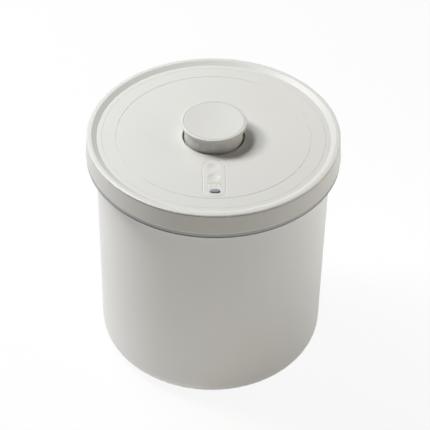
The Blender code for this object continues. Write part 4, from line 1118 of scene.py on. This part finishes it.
class CANISTER_OT_yielding_parts(bpy.types.Operator):
    """Makes the springs and the diaphragm, which give way as the piece above them goes down"""

    bl_idname = "canister.yielding_parts"
    bl_label = "Springs and diaphragm"

    def execute(self, context):
        spring = coil("return_coil", "return_spring", (0.0, 0.0), 0.0006, 4.5)
        self.yielding(context, spring, "steel", "return_spring", "knob_press")
        spring = coil("release_coil", "release_spring", BUTTON_CENTRE.xy, 0.0003, 3.5)
        self.yielding(context, spring, "steel", "release_spring", "release_press")
        self.yielding(context, self.make_diaphragm(), "seal", "indicator_diaphragm", "indicator_drop")
        return {"FINISHED"}

    def yielding(self, context, piece, finish, node, joint):
        """Completes a piece and gives it its own mesh. The share of its height that it would keep at the
        joint's whole way is worked out, but not used.
        """
        complete(context, piece, "lid", finish, node)
        low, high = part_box(node)
        height = high.z - low.z
        way = next(max(item["range_m"]) for item in frame["joints"] if item["name"] == joint)
        keep = (height - way - FINE_GAP) / height
        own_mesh(piece)

    def make_diaphragm(self):
        """The soft dome under the indicator pin, with its flat flange."""
        low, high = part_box("indicator_diaphragm")
        skin = 0.0007
        outer = (high.x - low.x) / 2
        dome = outer - 0.0025
        corners = [
            (0.0, high.z - skin, 0),
            (dome - 2 * skin, high.z - skin, CRISP),
            (dome - skin, low.z, SHARP),
            (outer, low.z, SHARP),
            (outer, low.z + skin, SHARP),
            (dome, low.z + skin, CRISP),
            (dome - skin, high.z, 0.0005),
            (0.0, high.z, 0),
        ]
        return turned("drop_diaphragm", corners, 64, ((low + high) / 2).xy)


class CANISTER_OT_inner_parts(bpy.types.Operator):
    """Gives the pump's inner parts their finishes"""

    bl_idname = "canister.inner_parts"
    bl_label = "Inner parts"

    def execute(self, context):
        for finish, nodes in (
            ("inner", ("pump_cylinder", "cylinder_cap", "piston")),
            ("seal", ("cylinder_seal", "inlet_valve", "piston_seal", "exhaust_valve")),
            ("steel", ("knob_screw",)),
        ):
            for node in nodes:
                paint(context, frame["nodes"][node], finish)
        return {"FINISHED"}


class CANISTER_OT_stage(bpy.types.Operator):
    """Sets the floor, the soft lights and the camera"""

    bl_idname = "canister.stage"
    bl_label = "Stage"

    def execute(self, context):
        studio = context.scene.canister_studio
        context.scene.view_settings.view_transform = "Standard"
        self.lay_floor(context)
        self.set_surround(context, studio)
        for name, azimuth, elevation, distance, size, power, colour in LAMPS:
            light = self.add_light(name, azimuth, elevation, distance)
            light.data.size = size
            light.data.energy = power * studio.brightness
            light.data.color = colour
        self.set_camera(context, studio)
        return {"FINISHED"}

    def lay_floor(self, context):
        start_fresh()
        bpy.ops.mesh.primitive_plane_add(size=8.0)
        floor = context.object
        floor.name = "studio_floor"
        floor.data.materials.append(studio_floor(context.scene.canister_colours.floor).material)

    def set_surround(self, context, studio):
        """An even light from all round, which the camera sees as white."""
        world = bpy.data.worlds.new("studio_surround")
        context.scene.world = world
        world.use_nodes = True
        tree = world.node_tree
        choice = tree.nodes.new("ShaderNodeMixShader")
        shaders = (tree.nodes["Background"], tree.nodes.new("ShaderNodeBackground"))
        for i, (shader, strength) in enumerate(zip(shaders, (studio.surround, 1.0))):
            shader.inputs["Color"].default_value = (1.0, 1.0, 1.0, 1.0)
            shader.inputs["Strength"].default_value = strength
            tree.links.new(shader.outputs[0], choice.inputs[1 + i])
        rays = tree.nodes.new("ShaderNodeLightPath")
        tree.links.new(rays.outputs["Is Camera Ray"], choice.inputs[0])
        tree.links.new(choice.outputs[0], tree.nodes["World Output"].inputs["Surface"])

    def add_light(self, name, azimuth, elevation, distance):
        """Hangs a round soft light that shines on the canister from the given angles in degrees."""
        middle = Vector((0.0, 0.0, CAD_BOX[1][2] / 2))
        around, rise = math.radians(azimuth), math.radians(elevation)
        flat = math.cos(rise)
        ahead = Vector((flat * math.cos(around), flat * math.sin(around), math.sin(rise)))
        lamp = bpy.data.lights.new(name, "AREA")
        lamp.shape = "DISK"
        light = bpy.data.objects.new(name, lamp)
        light.location = middle + ahead * distance
        light.rotation_euler = ahead.to_track_quat("Z", "Y").to_euler()
        light.visible_camera = False
        bpy.context.scene.collection.objects.link(light)
        return light

    def set_camera(self, context, studio):
        """Places the camera round the middle of the rim, and aims it a little right and below."""
        rise, turn = studio.elevation, Matrix.Rotation(studio.turn, 3, "Z")
        back = turn @ Vector((0.0, -math.cos(rise), math.sin(rise)))
        right = turn @ Vector((1.0, 0.0, 0.0))
        up = back.cross(right)
        aim = (-back + right * studio.aim_right - up * studio.aim_down).normalized()
        side = aim.cross(up).normalized()
        over = side.cross(aim)
        cos, sin = math.cos(studio.roll), math.sin(studio.roll)
        across = side * cos + over * sin
        upright = over * cos - side * sin
        lens = bpy.data.cameras.new("photo_camera")
        lens.sensor_width = 36.0
        lens.lens = studio.lens
        camera = bpy.data.objects.new("photo_camera", lens)
        pose = Matrix((across, upright, -aim)).transposed().to_4x4()
        pose.translation = Vector((0.0, 0.0, RIM_TOP)) + back * studio.distance
        camera.matrix_world = pose
        context.scene.collection.objects.link(camera)
        context.scene.camera = camera


OPERATORS = (
    CANISTER_OT_pot, CANISTER_OT_foot, CANISTER_OT_cover, CANISTER_OT_panel, CANISTER_OT_valve_plate,
    CANISTER_OT_release, CANISTER_OT_indicator, CANISTER_OT_gasket, CANISTER_OT_knob, CANISTER_OT_base,
    CANISTER_OT_pump, CANISTER_OT_screws, CANISTER_OT_yielding_parts, CANISTER_OT_inner_parts,
    CANISTER_OT_stage,
)


class CANISTER_PT_sidebar(bpy.types.Panel):
    """Lists the canister's operators and values"""

    bl_idname = "CANISTER_PT_sidebar"
    bl_label = "Rice Canister"
    bl_space_type = "VIEW_3D"
    bl_region_type = "UI"
    bl_category = "Canister"

    def draw(self, context):
        layout = self.layout
        for name in GROUPS:
            group = getattr(context.scene, name)
            box = layout.box()
            for value in group.__annotations__:
                box.prop(group, value)
        for operator in OPERATORS:
            layout.operator(operator.bl_idname)


GROUPS = {
    "canister_sizes": CanisterSizes,
    "canister_colours": CanisterColours,
    "canister_studio": CanisterStudio,
}


def register():
    for group in GROUPS.values():
        bpy.utils.register_class(group)
    for name, group in GROUPS.items():
        setattr(bpy.types.Scene, name, bpy.props.PointerProperty(type=group))
    for operator in OPERATORS:
        bpy.utils.register_class(operator)
    bpy.utils.register_class(CANISTER_PT_sidebar)


def unregister():
    bpy.utils.unregister_class(CANISTER_PT_sidebar)
    for operator in reversed(OPERATORS):
        bpy.utils.unregister_class(operator)
    for name in GROUPS:
        delattr(bpy.types.Scene, name)
    for group in GROUPS.values():
        bpy.utils.unregister_class(group)


def main():
    register()
    for operator in OPERATORS:
        group, name = operator.bl_idname.split(".")
        getattr(getattr(bpy.ops, group), name)()


if __name__ == "__main__":
    main()
